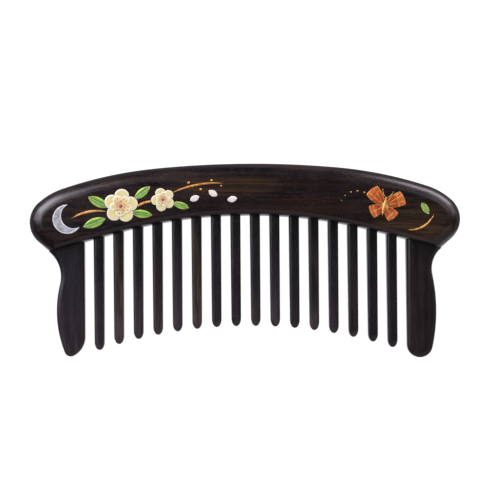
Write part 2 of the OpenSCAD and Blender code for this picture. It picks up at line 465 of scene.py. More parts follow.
@dataclass(frozen=True)
class LowerEdge:
    """The hollow lower edge of the spine: a tighter and a wider arc on each side of its middle."""

    scale: float
    middle_y: float = 16.85
    near: Arc = Arc(183.5, 14.6, 34)
    far: Arc = Arc(1274.0, 2.6, 4)
    corner_x: float = 71.4

    def near_centre(self) -> Vector:
        """Gives the centre of the tighter arc."""
        return Vector((0.0, (self.middle_y - self.near.radius) * self.scale))

    def far_centre(self) -> Vector:
        """Gives the centre of the wider arc at the right."""
        away, turn = (self.far.radius - self.near.radius) * self.scale, radians(self.near.turn)
        return self.near_centre() - away * Vector((sin(turn), cos(turn)))

    def height(self, x: float, inset: float = 0.0) -> float:
        """Gives the height of the edge, or of a line above it, at a place along the comb.

        Args:
            x: The place along the comb.
            inset: How far the line lies inside the edge.

        Returns:
            The place across the comb.
        """
        near_radius = self.near.radius * self.scale + inset
        if abs(x) < near_radius * sin(radians(self.near.turn)):
            centre, radius = self.near_centre(), near_radius
        else:
            centre, radius = self.far_centre(), self.far.radius * self.scale + inset
        return centre.y + sqrt(radius**2 - (abs(x) - centre.x) ** 2)

    def corner(self) -> Vector:
        """Gives the corner at the right end of the edge."""
        x = self.corner_x * self.scale
        return Vector((x, self.height(x)))


class CombSizes:
    """The sizes that the comb's parts share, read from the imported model."""

    DRAWN_LENGTH = 157.7

    def __init__(self) -> None:
        """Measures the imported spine."""
        low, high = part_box("spine")
        self.scale = (high.x - low.x) / MM / self.DRAWN_LENGTH
        self.thickness = (high.z - low.z) / MM
        self.middle = (high.z + low.z) / 2 / MM
        self.face = high.z / MM
        self.crown_y = high.y / MM
        self.edge = LowerEdge(self.scale)


@dataclass
class Spine:
    """The arched back of the comb, full round along its back and ends."""

    sizes: CombSizes
    back: tuple[Arc, ...] = (
        Arc(355.0, -5.4, 16),
        Arc(150.0, -13.1, 18),
        Arc(25.0, -23.4, 10),
        Arc(9.6, -97.6, 26),
    )
    tail_steps: int = 4
    edge_round: float = 2.4
    nose_steps: int = 16
    face_border: float = 0.45

    def corner_at(self, tail_start: Vector, back_inset: float, edge_inset: float) -> Vector:
        """Gives the end's corner where its two sides have moved in by insets of their own.

        Args:
            tail_start: Where the straight tail of the back begins.
            back_inset: How far the back has moved in.
            edge_inset: How far the lower edge has moved in.

        Returns:
            The corner.
        """
        corner = self.sizes.edge.corner()
        tail = (corner - tail_start).normalized()
        tail_in = Vector((tail.y, -tail.x))
        edge_in = (corner - self.sizes.edge.far_centre()).normalized()
        det = tail_in.x * edge_in.y - tail_in.y * edge_in.x
        return corner + Vector((
            (back_inset * edge_in.y - edge_inset * tail_in.y) / det,
            (edge_inset * tail_in.x - back_inset * edge_in.x) / det,
        ))

    def draw_level(self, rise: float) -> None:
        """Draws the right half of the outline at one height.

        Args:
            rise: How far it lies above the middle of the thickness.
        """
        nose = self.sizes.thickness / 2
        edge = self.sizes.edge
        back_inset = nose - sqrt(max(0.0, nose**2 - rise**2))
        over = max(0.0, rise - (nose - self.edge_round))
        edge_inset = self.edge_round - sqrt(max(0.0, self.edge_round**2 - over**2))
        pen = Pen((0.0, self.sizes.crown_y), 0.0, rise, back_inset)
        for arc in self.back:
            pen.arc(arc.sized(self.sizes.scale))
        corner = self.corner_at(pen.path, back_inset, edge_inset)
        pen.line_to(corner, self.tail_steps)
        for centre, arc, until in (
            (edge.far_centre(), edge.far, 90.0 - edge.near.turn),
            (edge.near_centre(), edge.near, 90.0),
        ):
            out = pen.point() - centre
            pen.path, pen.inset = pen.point(), 0.0
            pen.about(centre, until - degrees(atan2(out.y, out.x)), arc.steps)

    def build(self) -> Piece:
        """Lofts the spine through its levels and mirrors it both ways.

        Returns:
            The finished mesh, in its place.
        """
        piece = new_piece("spine_body")
        nose, turn = self.sizes.thickness / 2, pi / 2 / self.nose_steps
        levels = [nose * sin(turn * k) for k in range(self.nose_steps + 1)]
        with editing(piece):
            for rise in levels:
                self.draw_level(rise)
            bridge_levels(levels)
            pick(Pick.EDGES, lambda edge: at_heights(edge, levels[-1:]))
            bpy.ops.mesh.edge_face_add()
        mirror_half(piece, (True, False, True))
        with editing(piece):
            tidy_normals()
            for side in (-1, 1):
                pick(Pick.FACES, lambda face: at_heights(face, [side * levels[-1]]))
                bpy.ops.mesh.dissolve_faces()
                bpy.ops.mesh.inset(thickness=self.face_border * MM, depth=0.0)
            lift(self.sizes.middle)
            tidy_normals()
        return piece


@dataclass
class NarrowTeeth:
    """The sixteen narrow teeth, modelled once and copied along the spine."""

    sizes: CombSizes
    count: int = 16
    width: float = 3.8
    tip_width: float = 3.55
    depth: float = 6.0
    tip_depth: float = 3.685
    tip_height: float = 3.0
    tip_steps: int = 8
    crown: float = 1.6
    crown_steps: int = 8
    crown_shape: float = 0.65
    tenon_length: float = 6.0
    tenon_width: float = 2.4
    tenon_step: float = 0.3
    tenon_stretch: float = 1.1
    sink: float = 0.7

    def node(self, number: int) -> str:
        """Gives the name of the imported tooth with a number."""
        return f"tooth_{number:02d}"

    def length(self) -> float:
        """Gives the length of the longest tooth, from its tip to a root that is sunk into the spine."""
        boxes = [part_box(self.node(number)) for number in range(1, self.count + 1)]
        return max((high.y - low.y) / MM for low, high in boxes) - self.tenon_length + self.sink

    def model(self) -> Piece:
        """Models one tooth with its tip on the origin.

        Returns:
            The tooth, which the others are copied from.
        """
        length = self.length()
        shank = length - self.tip_height
        middle = self.sizes.middle
        deselect()
        bpy.ops.mesh.primitive_cube_add(
            size=MM,
            location=(0.0, (self.tip_height + shank / 2) * MM, middle * MM),
            scale=(self.width, shank, self.depth),
        )
        tooth = bpy.context.object
        bpy.ops.object.transform_apply()
        with editing(tooth):
            pick(Pick.EDGES, lambda edge: abs(edge.verts[0].co.y - edge.verts[1].co.y) > MM)
            bpy.ops.mesh.bevel(
                offset=self.crown * MM, segments=self.crown_steps, profile=self.crown_shape
            )
            self.round_tip()
            self.add_tenon(length)
            tidy_normals()
        return tooth

    def round_tip(self) -> None:
        """Narrows the tip's end of the open tooth and draws it out to a rounded point."""
        middle = self.sizes.middle * MM
        pick(Pick.FACES, lambda face: face.normal.y < -FACING)
        narrower = (self.tip_width / self.width, 1.0, self.tip_depth / self.depth)
        bpy.ops.transform.resize(value=narrower, center_override=(0.0, self.tip_height * MM, middle))
        round_off((0.0, -self.tip_height, 0.0), (0.0, 0.0, middle), self.tip_steps)

    def add_tenon(self, length: float) -> None:
        """Draws the tenon out of the root of the open tooth.

        Args:
            length: How far the root lies from the tip.
        """
        shank = (length - self.tenon_step) * MM
        pick(Pick.FACES, lambda face: face.normal.y > FACING and face.calc_center_median().y > shank)
        bpy.ops.mesh.inset(thickness=self.tenon_step * MM)
        deep = self.tenon_width / self.depth * self.tenon_stretch
        middle = (0.0, length * MM, self.sizes.middle * MM)
        bpy.ops.transform.resize(value=(self.tenon_width / self.width, 1.0, deep), center_override=middle)
        draw_out(y=self.tenon_length - self.sink)

    def build(self) -> list[tuple[Piece, Slot, str]]:
        """Copies the tooth to each of its places.

        Returns:
            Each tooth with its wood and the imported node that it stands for.
        """
        model = self.model()
        teeth = []
        for number in range(1, self.count + 1):
            low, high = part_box(self.node(number))
            tooth = copy_piece(model, f"narrow_tooth_{number:02d}")
            Place((low.x + high.x) / 2 / MM, low.y / MM).put(tooth)
            teeth.append((tooth, BROWNER_TEETH.get(number, Slot.DARK_TOOTH), self.node(number)))
        bpy.data.objects.remove(model)
        return teeth


@dataclass
class GuardTooth:
    """A broad outer tooth, drawn as it stands at the right end and mirrored for the left."""

    sizes: CombSizes
    outer: tuple[Arc, ...]
    inner: tuple[Arc, ...]
    node: str
    mirrored: bool = False
    top_x: float = 71.6
    heading: float = -140.0
    finer: int = 2
    edge_round: float = 1.7
    round_steps: int = 8
    depth: float = 6.0
    tip_depth: float = 3.5
    sink: float = 0.6
    root_step: float = 2.2
    root_steps: int = 10
    top_steps: int = 4
    face_border: float = 0.3

    def draw_level(self, rise: float, inset: float) -> None:
        """Draws the outline at one height.

        Args:
            rise: How far it lies above the middle of the depth.
            inset: How far it is moved in.
        """
        scale = self.sizes.scale
        edge = self.sizes.edge
        x = self.top_x * scale
        pen = Pen((x, edge.height(x)), self.heading, rise, inset)
        start = pen.point()
        for arc in self.outer + self.inner:
            pen.arc(arc.sized(scale, self.finer))
        inner_x, outer_x = pen.point().x, start.x - self.root_step
        pen.line_to((inner_x, edge.height(inner_x) + self.sink), self.root_steps)
        pen.line_to((outer_x, edge.height(outer_x) + self.sink), self.top_steps)
        pen.line_to(start)

    def build(self) -> Piece:
        """Lofts the tooth through its levels, mirrors it and tapers it towards its tip.

        Returns:
            The finished mesh, in its place.
        """
        piece = new_piece(f"{self.node}_body")
        half = self.depth / 2
        angles = [pi / 2 * k / self.round_steps for k in range(self.round_steps + 1)]
        levels = [0.0] + [half - self.edge_round * (1 - sin(a)) for a in angles]
        insets = [0.0] + [self.edge_round * (1 - cos(a)) for a in angles]
        with editing(piece):
            for rise, inset in zip(levels, insets):
                self.draw_level(rise, inset)
            weld()
            bridge_levels(levels)
            pick(Pick.EDGES, lambda edge: at_heights(edge, levels[-1:]))
            bpy.ops.mesh.edge_face_add()
        mirror_half(piece, (False, False, True))
        with editing(piece):
            tidy_normals()
            for side in (-1, 1):
                pick(Pick.FACES, lambda face: at_heights(face, [side * levels[-1]]))
                bpy.ops.mesh.inset(thickness=self.face_border * MM, depth=0.0)
        if self.mirrored:
            turn_over(piece, (-1.0, 1.0, 1.0))
        self.taper(piece)
        with editing(piece):
            lift(self.sizes.middle)
            tidy_normals()
        return piece

    def taper(self, piece: Piece) -> None:
        """Thins the tooth from its root to its tip.

        Args:
            piece: The tooth, with the middle of its depth at height 0.
        """
        low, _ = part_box(self.node)
        root = self.sizes.edge.height(self.top_x * self.sizes.scale) * MM
        full = self.depth / 2 * MM
        slope = (self.depth - self.tip_depth) / 2 * MM / (root - low.y)
        for point in piece.data.vertices:
            point.co.z *= (full - slope * (root - point.co.y)) / full


# Shapes that the inlays are made of


@dataclass(frozen=True)
class Circle:
    """A circle on the comb's face, in millimetres."""

    x: float
    y: float
    radius: float


@dataclass(frozen=True)
class Ring:
    """One level of a shape: how far its outline lies inside the drawn one, and its height."""

    inset: float
    height: float


def loft(name: str, draw: Callable[[Ring], None], rings: Sequence[Ring]) -> Piece:
    """Draws an outline at several levels and joins them to a closed solid.

    Args:
        name: The piece's name.
        draw: Draws the outline of one level.
        rings: The levels from one end to the other, no two at the same height.

    Returns:
        The closed mesh.
    """
    piece = new_piece(name)
    with editing(piece):
        for ring in rings:
            draw(ring)
        weld()
        bridge_levels([ring.height for ring in rings])
        for end in (rings[0], rings[-1]):
            pick(Pick.EDGES, lambda edge: at_heights(edge, [end.height]))
            bpy.ops.mesh.edge_face_add()
        tidy_normals()
    return piece


def raise_plate(piece: Piece, low: float, high: float) -> None:
    """Makes a flat outline a solid plate between two heights.

    Args:
        piece: The piece, flat and at height 0.
        low: The height of its underside.
        high: The height of its top.
    """
    with editing(piece):
        lift(low)
        draw_out(z=high - low)
        tidy_normals()


def crown_cells(piece: Piece, top: float, steps: Profile) -> None:
    """Draws the top of each cell of a piece in towards its own middle and up, step by step.

    Args:
        piece: The cells, as plates.
        top: The height of their tops.
        steps: How far each step goes in, as a share of the cell, and how far it rises.
    """
    with editing(piece):
        pick(Pick.FACES, lambda face: at_heights(face, [top]))
        shape = bmesh.from_edit_mesh(piece.data)
        middles = [face.calc_center_median() for face in shape.faces if face.select]
        for middle in middles:
            pick(Pick.FACES, lambda face: (face.calc_center_median() - middle).length < SAME_PLACE)
            for inwards, rise in steps:
                draw_out(z=rise)
                shares = (1 - inwards, 1 - inwards, 1.0)
                bpy.ops.transform.resize(value=shares, center_override=middle)


def cut_circles(
    piece: Piece, circles: Sequence[Circle], height: float, reach: float = 1.0, depth: float = 4.0
) -> None:
    """Cuts upright round holes out of a piece, where they reach it.

    Args:
        piece: The piece to cut, in its place.
        circles: The holes.
        height: The height that the holes are centred on.
        reach: How near a circle has to come to a point of the piece.
        depth: How deep the holes are.
    """
    points = [v.co.to_2d() / MM for v in piece.data.vertices]
    for circle in circles:
        middle = Vector((circle.x, circle.y))
        if min((p - middle).length for p in points) > circle.radius + reach:
            continue
        deselect()
        bpy.ops.mesh.primitive_cylinder_add(
            vertices=ROUND_SIDES,
            radius=circle.radius * MM,
            depth=depth * MM,
            location=(circle.x * MM, circle.y * MM, height * MM),
        )
        cutter = bpy.context.object
        bpy.ops.object.transform_apply()
        apply_modifier(piece, "BOOLEAN", operation="DIFFERENCE", object=cutter, solver="EXACT")
        bpy.data.objects.remove(cutter)


def cells_of(sheet: Piece, name: str, root: float, gap: float, low: float, high: float) -> Piece:
    """Raises each face of a flat sheet as a cell of its own, with a gap round it.

    Args:
        sheet: The flat sheet at height 0, which is left as it is.
        name: The name of the cells.
        root: How far along X the cells begin.
        gap: How far each cell stays inside its face.
        low: The height of their underside.
        high: The height of their top.

    Returns:
        The cells as one piece.
    """
    cells = copy_piece(sheet, name)
    with editing(cells):
        take_all()
        bpy.ops.mesh.bisect(plane_co=(root * MM, 0.0, 0.0), plane_no=(-1.0, 0.0, 0.0), clear_outer=True)
        weld(NEAR_PLACE)
        bpy.ops.mesh.select_mode(type=Pick.FACES.value)
        take_all()
        bpy.ops.mesh.inset(thickness=gap * MM, use_even_offset=True, use_individual=True)
        bpy.ops.mesh.select_all(action="INVERT")
        bpy.ops.mesh.delete(type="FACE")
    raise_plate(cells, low, high)
    return cells


@dataclass(frozen=True)
class Dome:
    """A low round cushion, such as a flower's heart or a dot."""

    radius: float
    height: float
    sides: int = 24
    rings: int = 5

    def build(self, name: str, base: float) -> Piece:
        """Models the cushion round the origin.

        Args:
            name: The piece's name.
            base: The height of its underside.

        Returns:
            The closed mesh.
        """
        deselect()
        bpy.ops.mesh.primitive_circle_add(
            vertices=self.sides,
            radius=self.radius * MM,
            fill_type="NGON",
            location=(0.0, 0.0, base * MM),
        )
        dome = bpy.context.object
        bpy.ops.object.transform_apply()
        dome.name = dome.data.name = name
        with editing(dome):
            bpy.ops.mesh.select_mode(type=Pick.FACES.value)
            take_all()
            round_off((0.0, 0.0, self.height), (0.0, 0.0, 0.0), self.rings)
            tidy_normals()
        return dome


@dataclass(frozen=True)
class Lens:
    """A pointed oval along X, round the origin."""

    length: float
    width: float
    steps: int = 22

    def radius(self) -> float:
        """Gives the radius of its two arcs."""
        return (self.length**2 + self.width**2) / (4 * self.width)

    def tip_angle(self) -> float:
        """Gives the angle in degrees between X and an arc at a tip."""
        return degrees(2 * atan(self.width / self.length))

    def draw(self, ring: Ring) -> None:
        """Draws the outline.

        Args:
            ring: The level to draw.
        """
        away = self.radius() - self.width / 2
        radius = self.radius() - ring.inset
        half = sqrt(radius**2 - away**2)
        turn = 2 * degrees(asin(half / radius))
        pen = Pen((-half, 0.0), turn / 2, ring.height)
        pen.about(Vector((0.0, -away)), -turn, self.steps)
        pen.about(Vector((0.0, away)), -turn, self.steps)

    def draw_half(self, ring: Ring) -> None:
        """Draws the half of it that lies above X, moved in from X too.

        Args:
            ring: The level to draw.
        """
        away = self.radius() - self.width / 2
        radius = self.radius() - ring.inset
        half = sqrt(radius**2 - (away + ring.inset) ** 2)
        turn = 2 * degrees(asin(half / radius))
        start = (-half, ring.inset)
        pen = Pen(start, turn / 2, ring.height)
        pen.about(Vector((0.0, -away)), -turn, self.steps)
        pen.line_to(start, self.steps)


@dataclass(frozen=True)
class Ribbon:
    """A raised line of half-round section, which swells at its middle and runs out at both ends.

    Its two sides are arcs from its start to its end, each with its own bow to the left.
    """

    start: Span
    end: Span
    inner_bow: float
    outer_bow: float
    height: float
    steps: int = 30
    lanes: int = 6

    def draw_lane(self, bow: float, level: float) -> None:
        """Draws one arc from the start to the end.

        Args:
            bow: How far its middle lies to the left of the straight line.
            level: The height that it is drawn at.
        """
        start, end = Vector(self.start), Vector(self.end)
        span = end - start
        along = degrees(atan2(span.y, span.x))
        half = degrees(2 * atan(2 * bow / span.length))
        radius = (span.length**2 / 4 + bow**2) / (2 * abs(bow))
        Pen(start, along + half, level).arc(Arc(radius, -2 * half, self.steps))

    def build(self, name: str, base: float) -> Piece:
        """Draws its lanes one above the other, joins them, and lets them down to their heights.

        Args:
            name: The piece's name.
            base: The height of its underside.

        Returns:
            The closed mesh.
        """
        piece = new_piece(name)
        levels = [float(lane) for lane in range(self.lanes + 1)]
        with editing(piece):
            for level in levels:
                share = (1 - cos(pi * level / self.lanes)) / 2
                self.draw_lane(self.inner_bow + (self.outer_bow - self.inner_bow) * share, level)
            bridge_levels(levels)
            bridge_levels([levels[0], levels[-1]])
            for level in levels:
                rise = base + self.height * sin(pi * level / self.lanes) - level
                pick(Pick.POINTS, lambda point: abs(point.co.z - level * MM) < SAME_PLACE)
                bpy.ops.transform.translate(value=(0.0, 0.0, rise * MM))
            tidy_normals()
        return piece


# The inlays


@dataclass(frozen=True)
class Fitting:
    """A finished mesh with its slot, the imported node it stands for, and its material."""

    piece: Piece
    slot: Slot
    node: str
    finish: str


@dataclass
class Inlay:
    """What all inlays share: the comb's face, and how their shapes are set on it."""

    sizes: CombSizes
    x: float = 0.0
    y: float = 0.0
    turn: float = 0.0
    sunk: float = 0.03

    def base(self) -> float:
        """Gives the height of an inlay's underside, just under the comb's face."""
        return self.sizes.face - self.sunk

    def on_face(self, x: float, y: float, turn: float = 0.0) -> Place:
        """Gives a place on the face, from the drawing's own numbers."""
        return Place(x * self.sizes.scale, y * self.sizes.scale, turn)

    def levels(self, profile: Profile, inset: float = 0.0, let_in: bool = False) -> tuple[Ring, ...]:
        """Gives the levels of a shape that lies on the face.

        Args:
            profile: How far in and how high above the face each level lies.
            inset: How far all of them move in.
            let_in: Whether the shape begins with an underside just under the face.

        Returns:
            The levels from the lowest one.
        """
        under = (Ring(0.0, self.base()),) if let_in else ()
        return under + tuple(Ring(inset + inwards, self.sizes.face + rise) for inwards, rise in profile)

    def domes(self, name: str, spots: Marks, height: float, sides: int) -> Piece:
        """Models low domes along a line as one piece.

        Args:
            name: The piece's name.
            spots: Each dome's place on the face and its radius.
            height: How high they are.
            sides: The edges that go round each of them.

        Returns:
            The domes in their places.
        """
        made = []
        for number, (x, y, radius) in enumerate(spots, 1):
            dome = Dome(radius, height, sides=sides, rings=4).build(f"{name}_{number}", self.base())
            self.on_face(x, y).put(dome)
            made.append(dome)
        return join_pieces(made, name)


@dataclass
class Blossom(Inlay):
    """A flower of five round petals, with an inner whorl, a heart and stamens.

    A size that is called a share is a share of the flower's radius.
    """

    name: str = "large_blossom"
    node: str = "blossom_inlay_large"
    x: float = -45.0
    y: float = 20.3
    radius: float = 6.2
    turn: float = 12.0
    petals: int = 5
    petal_share: float = 0.43
    middle_share: float = 0.45
    inner_share: float = 0.66
    inner_rise: float = 0.2
    outer_tail: float = 0.3
    inner_tail: float = 0.2
    gap: float = 0.07
    clear_gap: float = 0.15
    plate_height: float = 0.1
    lip: Span = (0.05, 0.04)
    swell: Profile = ((0.1, 0.045), (0.2, 0.03), (0.35, -0.01))
    swell_radius: float = 2.6
    filaments: int = 15
    stamen_turn: float = 6.0
    stamen_rise: float = 0.02
    start_share: float = 0.1
    reach_share: float = 0.44
    short_stamen: float = 0.72
    filament_bow: float = 0.12
    filament_share: float = 0.035
    filament_height: float = 0.12
    anther_share: float = 0.045
    anther_least: float = 0.06
    anther_height: float = 0.2
    heart_share: float = 0.13
    heart_height: float = 0.24

    def circles(self) -> list[Circle]:
        """Gives the circles that clear what lies behind the petals and the middle.

        Returns:
            The circles, the middle's first.
        """
        middle = self.on_face(self.x, self.y)
        round_r = self.radius * self.petal_share
        out = self.radius - round_r
        rounds = [Circle(middle.x, middle.y, self.radius * self.middle_share)]
        for k in range(self.petals):
            angle = radians(self.turn + 360 * k / self.petals)
            x, y = middle.x + out * cos(angle), middle.y + out * sin(angle)
            rounds.append(Circle(x, y, round_r + self.clear_gap))
        return rounds

    def whorl(self, name: str, radius: float, turn: float, base: float, tail: float) -> Piece:
        """Models one petal and copies it round the flower's middle.

        Args:
            name: The name of the whorl.
            radius: How far its petals reach.
            turn: The direction of the first petal in degrees.
            base: The height of its underside.
            tail: How far its tips stay off the flower's middle.

        Returns:
            The petals as one piece, in its place.
        """
        round_r = radius * self.petal_share
        out = radius - round_r
        half = 180.0 / self.petals
        deselect()
        bpy.ops.mesh.primitive_circle_add(vertices=ROUND_SIDES, radius=round_r * MM, fill_type="NGON")
        petal = bpy.context.object
        with editing(petal):
            for side in (-1, 1):
                angle = radians(side * half)
                take_all()
                bpy.ops.mesh.bisect(
                    plane_co=(-out * MM, -side * self.gap * MM, 0.0),
                    plane_no=(-side * sin(angle), side * cos(angle), 0.0),
                    clear_outer=True,
                )
            take_all()
            bpy.ops.mesh.bisect(
                plane_co=((tail - out) * MM, 0.0, 0.0), plane_no=(-1.0, 0.0, 0.0), clear_outer=True
            )
        top = base + self.plate_height
        raise_plate(petal, base, top)
        swell = round_r / self.swell_radius
        steps = [self.lip] + [(inwards * swell, rise) for inwards, rise in self.swell]
        with editing(petal):
            pick(Pick.FACES, lambda face: at_heights(face, [top]))
            for inwards, rise in steps:
                bpy.ops.mesh.inset(thickness=inwards * MM, depth=rise * MM, use_even_offset=True)
        middle = self.on_face(self.x, self.y)
        copies = []
        for k in range(self.petals):
            heading = turn + 360 * k / self.petals
            away = Vector((cos(radians(heading)), sin(radians(heading)))) * out
            copy = copy_piece(petal, f"{name}_{k + 1}")
            place = Place(middle.x + away.x, middle.y + away.y, heading)
            place.put(copy)
            place.map_plan(copy, 2 * round_r, 2 * round_r)
            copies.append(copy)
        bpy.data.objects.remove(petal)
        return join_pieces(copies, name)

    def stamens(self, base: float) -> Piece:
        """Models one filament with its anther and copies it round the heart.

        Args:
            base: The height of their underside.

        Returns:
            The stamens as one piece, in its place.
        """
        reach = self.radius * self.reach_share
        bow = self.filament_bow
        filament = Ribbon(
            (self.radius * self.start_share, 0.0),
            (reach, 0.0),
            bow,
            bow + self.filament_share * self.radius,
            self.filament_height,
            steps=8,
            lanes=4,
        ).build("filament", base)
        anther_radius = self.anther_share * self.radius + self.anther_least
        anther = Dome(anther_radius, self.anther_height, sides=14, rings=4).build("anther", base)
        Place(reach, 0.0).put(anther)
        stamen = join_pieces([filament, anther], "stamen")
        middle = self.on_face(self.x, self.y)
        copies = []
        for k in range(self.filaments):
            copy = copy_piece(stamen, f"stamen_{k + 1}")
            with editing(copy):
                share = 1.0 if k % 3 else self.short_stamen
                take_all()
                bpy.ops.transform.resize(value=(share, share, 1.0), center_override=(0.0, 0.0, 0.0))
            turn = self.turn + self.stamen_turn + 360 * k / self.filaments
            Place(middle.x, middle.y, turn).put(copy)
            copies.append(copy)
        bpy.data.objects.remove(stamen)
        return join_pieces(copies, f"{self.name}_stamens")

    def build(self) -> list[Fitting]:
        """Models the flower in its place.

        Returns:
            Its outer and inner petals, its stamens and its heart.
        """
        high = self.sizes.face + self.inner_rise
        name = self.name
        outer = self.whorl(f"{name}_petals", self.radius, self.turn, self.base(), self.outer_tail)
        inner = self.whorl(
            f"{name}_inner_petals",
            self.radius * self.inner_share,
            self.turn + 180 / self.petals,
            high - self.plate_height,
            self.inner_tail,
        )
        stamens = self.stamens(high + self.stamen_rise)
        cushion = Dome(self.heart_share * self.radius, self.heart_height, sides=28, rings=6)
        heart = cushion.build(f"{name}_heart", high)
        self.on_face(self.x, self.y).put(heart)
        return [
            Fitting(outer, Slot.CREAM, self.node, "petal"),
            Fitting(inner, Slot.CREAM, self.node, "inner_petal"),
            Fitting(stamens, Slot.GOLD, self.node, "gold"),
            Fitting(heart, Slot.GOLD, self.node, "heart"),
        ]


@dataclass
class Leaf(Inlay):
    """A pointed leaf with a gold rim and midrib, and a cell of enamel on each side of the rib."""

    number: int = 1
    length: float = 8.0
    width: float = 3.0
    cuts: tuple[Circle, ...] = ()
    rim: float = 0.14
    plate: Profile = ((0.0, 0.1), (0.04, 0.13))
    swell: Profile = ((0.0, 0.06), (0.01, 0.15), (0.06, 0.19), (0.2, 0.225), (0.38, 0.235))

    def build(self) -> list[Fitting]:
        """Models the leaf in its place.

        Returns:
            Its gold plate and its two cells.
        """
        name = f"leaf_{self.number}"
        place = self.on_face(self.x, self.y, self.turn)
        outline = Lens(self.length, self.width)
        plate = loft(f"{name}_rim", outline.draw, self.levels(self.plate, let_in=True))
        upper = loft(f"{name}_cells", outline.draw_half, self.levels(self.swell, self.rim))
        lower = copy_piece(upper, f"{name}_lower")
        turn_over(lower, (1.0, -1.0, 1.0))
        cells = join_pieces([upper, lower], f"{name}_cells")
        for piece in (plate, cells):
            place.put(piece)
            cut_circles(piece, self.cuts, self.sizes.face)
            place.map_plan(piece, self.length, self.width)
        node = f"leaf_inlay_{self.number}"
        return [Fitting(plate, Slot.GREEN, node, "leaf_rim"), Fitting(cells, Slot.GREEN, node, "leaf")]


@dataclass
class Line(Inlay):
    """A thin curved gold line, with small buds along it where it has any."""

    name: str = "twig"
    start: Span = (0.0, 0.0)
    end: Span = (1.0, 0.0)
    bow: float = 0.9
    thick: float = 0.9
    height: float = 0.24
    cuts: tuple[Circle, ...] = ()
    buds: Marks = ()
    bud_height: float = 0.22

    def build(self) -> list[Fitting]:
        """Models the line in its place.

        Returns:
            The line, and its buds where it has any.
        """
        scale = self.sizes.scale
        line = Ribbon(
            (self.start[0] * scale, self.start[1] * scale),
            (self.end[0] * scale, self.end[1] * scale),
            self.bow,
            self.bow + self.thick,
            self.height,
        ).build(f"{self.name}_line", self.base())
        cut_circles(line, self.cuts, self.sizes.face)
        node = f"{self.name}_inlay"
        fittings = [Fitting(line, Slot.GOLD, node, "gold")]
        if self.buds:
            buds = self.domes(f"{self.name}_buds", self.buds, self.bud_height, 20)
            fittings.append(Fitting(buds, Slot.GOLD, node, "gold"))
        return fittings


@dataclass
class Petal(Inlay):
    """A loose white petal."""

    number: int = 1
    length: float = 3.6
    width: float = 2.2
    swell: Profile = ((0.0, 0.1), (0.06, 0.15), (0.2, 0.2), (0.42, 0.23), (0.7, 0.22))

    def build(self) -> list[Fitting]:
        """Models the petal in its place.

        Returns:
            The petal alone.
        """
        outline = Lens(self.length, self.width)
        levels = self.levels(self.swell, let_in=True)
        petal = loft(f"loose_petal_{self.number}", outline.draw, levels)
        place = self.on_face(self.x, self.y, self.turn)
        place.put(petal)
        place.map_plan(petal, self.length, self.width)
        return [Fitting(petal, Slot.WHITE, f"petal_inlay_{self.number}", "loose_petal")]


@dataclass
class Moon(Inlay):
    """A crescent with a raised rim round a speckled field."""

    x: float = -64.4
    y: float = 15.7
    radius: float = 5.3
    cut_radius: float = 4.6
    cut: Span = (2.3, 1.2)
    rim: float = 0.34
    rim_outside: Profile = ((0.0, 0.15), (0.05, 0.19))
    rim_inside: Profile = ((0.0, 0.2), (0.05, 0.05))
    field: Profile = ((0.02, 0.04), (0.04, 0.12))
    outer_steps: int = 64
    inner_steps: int = 48

    def draw(self, ring: Ring) -> None:
        """Draws the crescent.

        Args:
            ring: The level to draw.
        """
        outer, inner = self.radius - ring.inset, self.cut_radius + ring.inset
        away = Vector(self.cut)
        apart = away.length
        axis = degrees(atan2(away.y, away.x))
        chord_x = (outer**2 - inner**2 + apart**2) / (2 * apart)
        chord_y = sqrt(outer**2 - chord_x**2)
        outer_half = degrees(atan2(chord_y, chord_x))
        inner_half = degrees(atan2(chord_y, chord_x - apart))
        start = radians(axis + outer_half)
        pen = Pen((outer * cos(start), outer * sin(start)), 0.0, ring.height)
        pen.about(Vector((0.0, 0.0)), 360 - 2 * outer_half, self.outer_steps)
        pen.about(away, 2 * inner_half - 360, self.inner_steps)

    def build(self) -> list[Fitting]:
        """Models the crescent in its place.

        Returns:
            The rim and the field.
        """
        rim = self.levels(self.rim_outside, let_in=True) + self.levels(self.rim_inside, self.rim)
        field = self.levels(self.field, self.rim)
        place = self.on_face(self.x, self.y)
        fittings = [
            Fitting(loft("moon_rim", self.draw, rim), Slot.SILVER, "moon_inlay", "silver_rim"),
            Fitting(loft("moon_field", self.draw, field), Slot.SILVER, "moon_inlay", "silver_field"),
        ]
        for fitting in fittings:
            place.put(fitting.piece)
            place.map_plan(fitting.piece, 2 * self.radius, 2 * self.radius)
        return fittings


@dataclass(frozen=True)
class Wing:
    """One wing: a pointed oval from the body, ended by a circle about the body's middle."""

    oval: Lens
    reach: float
    tilt: float
    lines: Marks
    side_steps: int = 22
    end_steps: int = 14

    def sheet(self, name: str) -> Piece:
        """Draws the right wing as a flat sheet along X and cuts it into its cells.

        Args:
            name: The sheet's name.

        Returns:
            The sheet, with a face for each cell.
        """
        radius = self.oval.radius()
        to_centre = degrees(atan2(self.oval.width / 2 - radius, self.oval.length / 2))
        end = to_centre + degrees(acos(self.reach / (2 * radius)))
        turn = degrees(2 * asin(self.reach / (2 * radius)))
        piece = new_piece(name)
        with editing(piece):
            pen = Pen((0.0, 0.0), self.oval.tip_angle())
            pen.arc(Arc(radius, -turn, self.side_steps))
            pen.about(Vector((0.0, 0.0)), -2 * end, self.end_steps)
            pen.heading = 180.0 - (self.oval.tip_angle() - turn)
            pen.arc(Arc(radius, -turn, self.side_steps))
            weld()
            bpy.ops.mesh.edge_face_add()
            for x, y, slant in self.lines:
                across = (-sin(radians(slant)), cos(radians(slant)), 0.0)
                take_all()
                bpy.ops.mesh.bisect(plane_co=(x * MM, y * MM, 0.0), plane_no=across)
        return piece


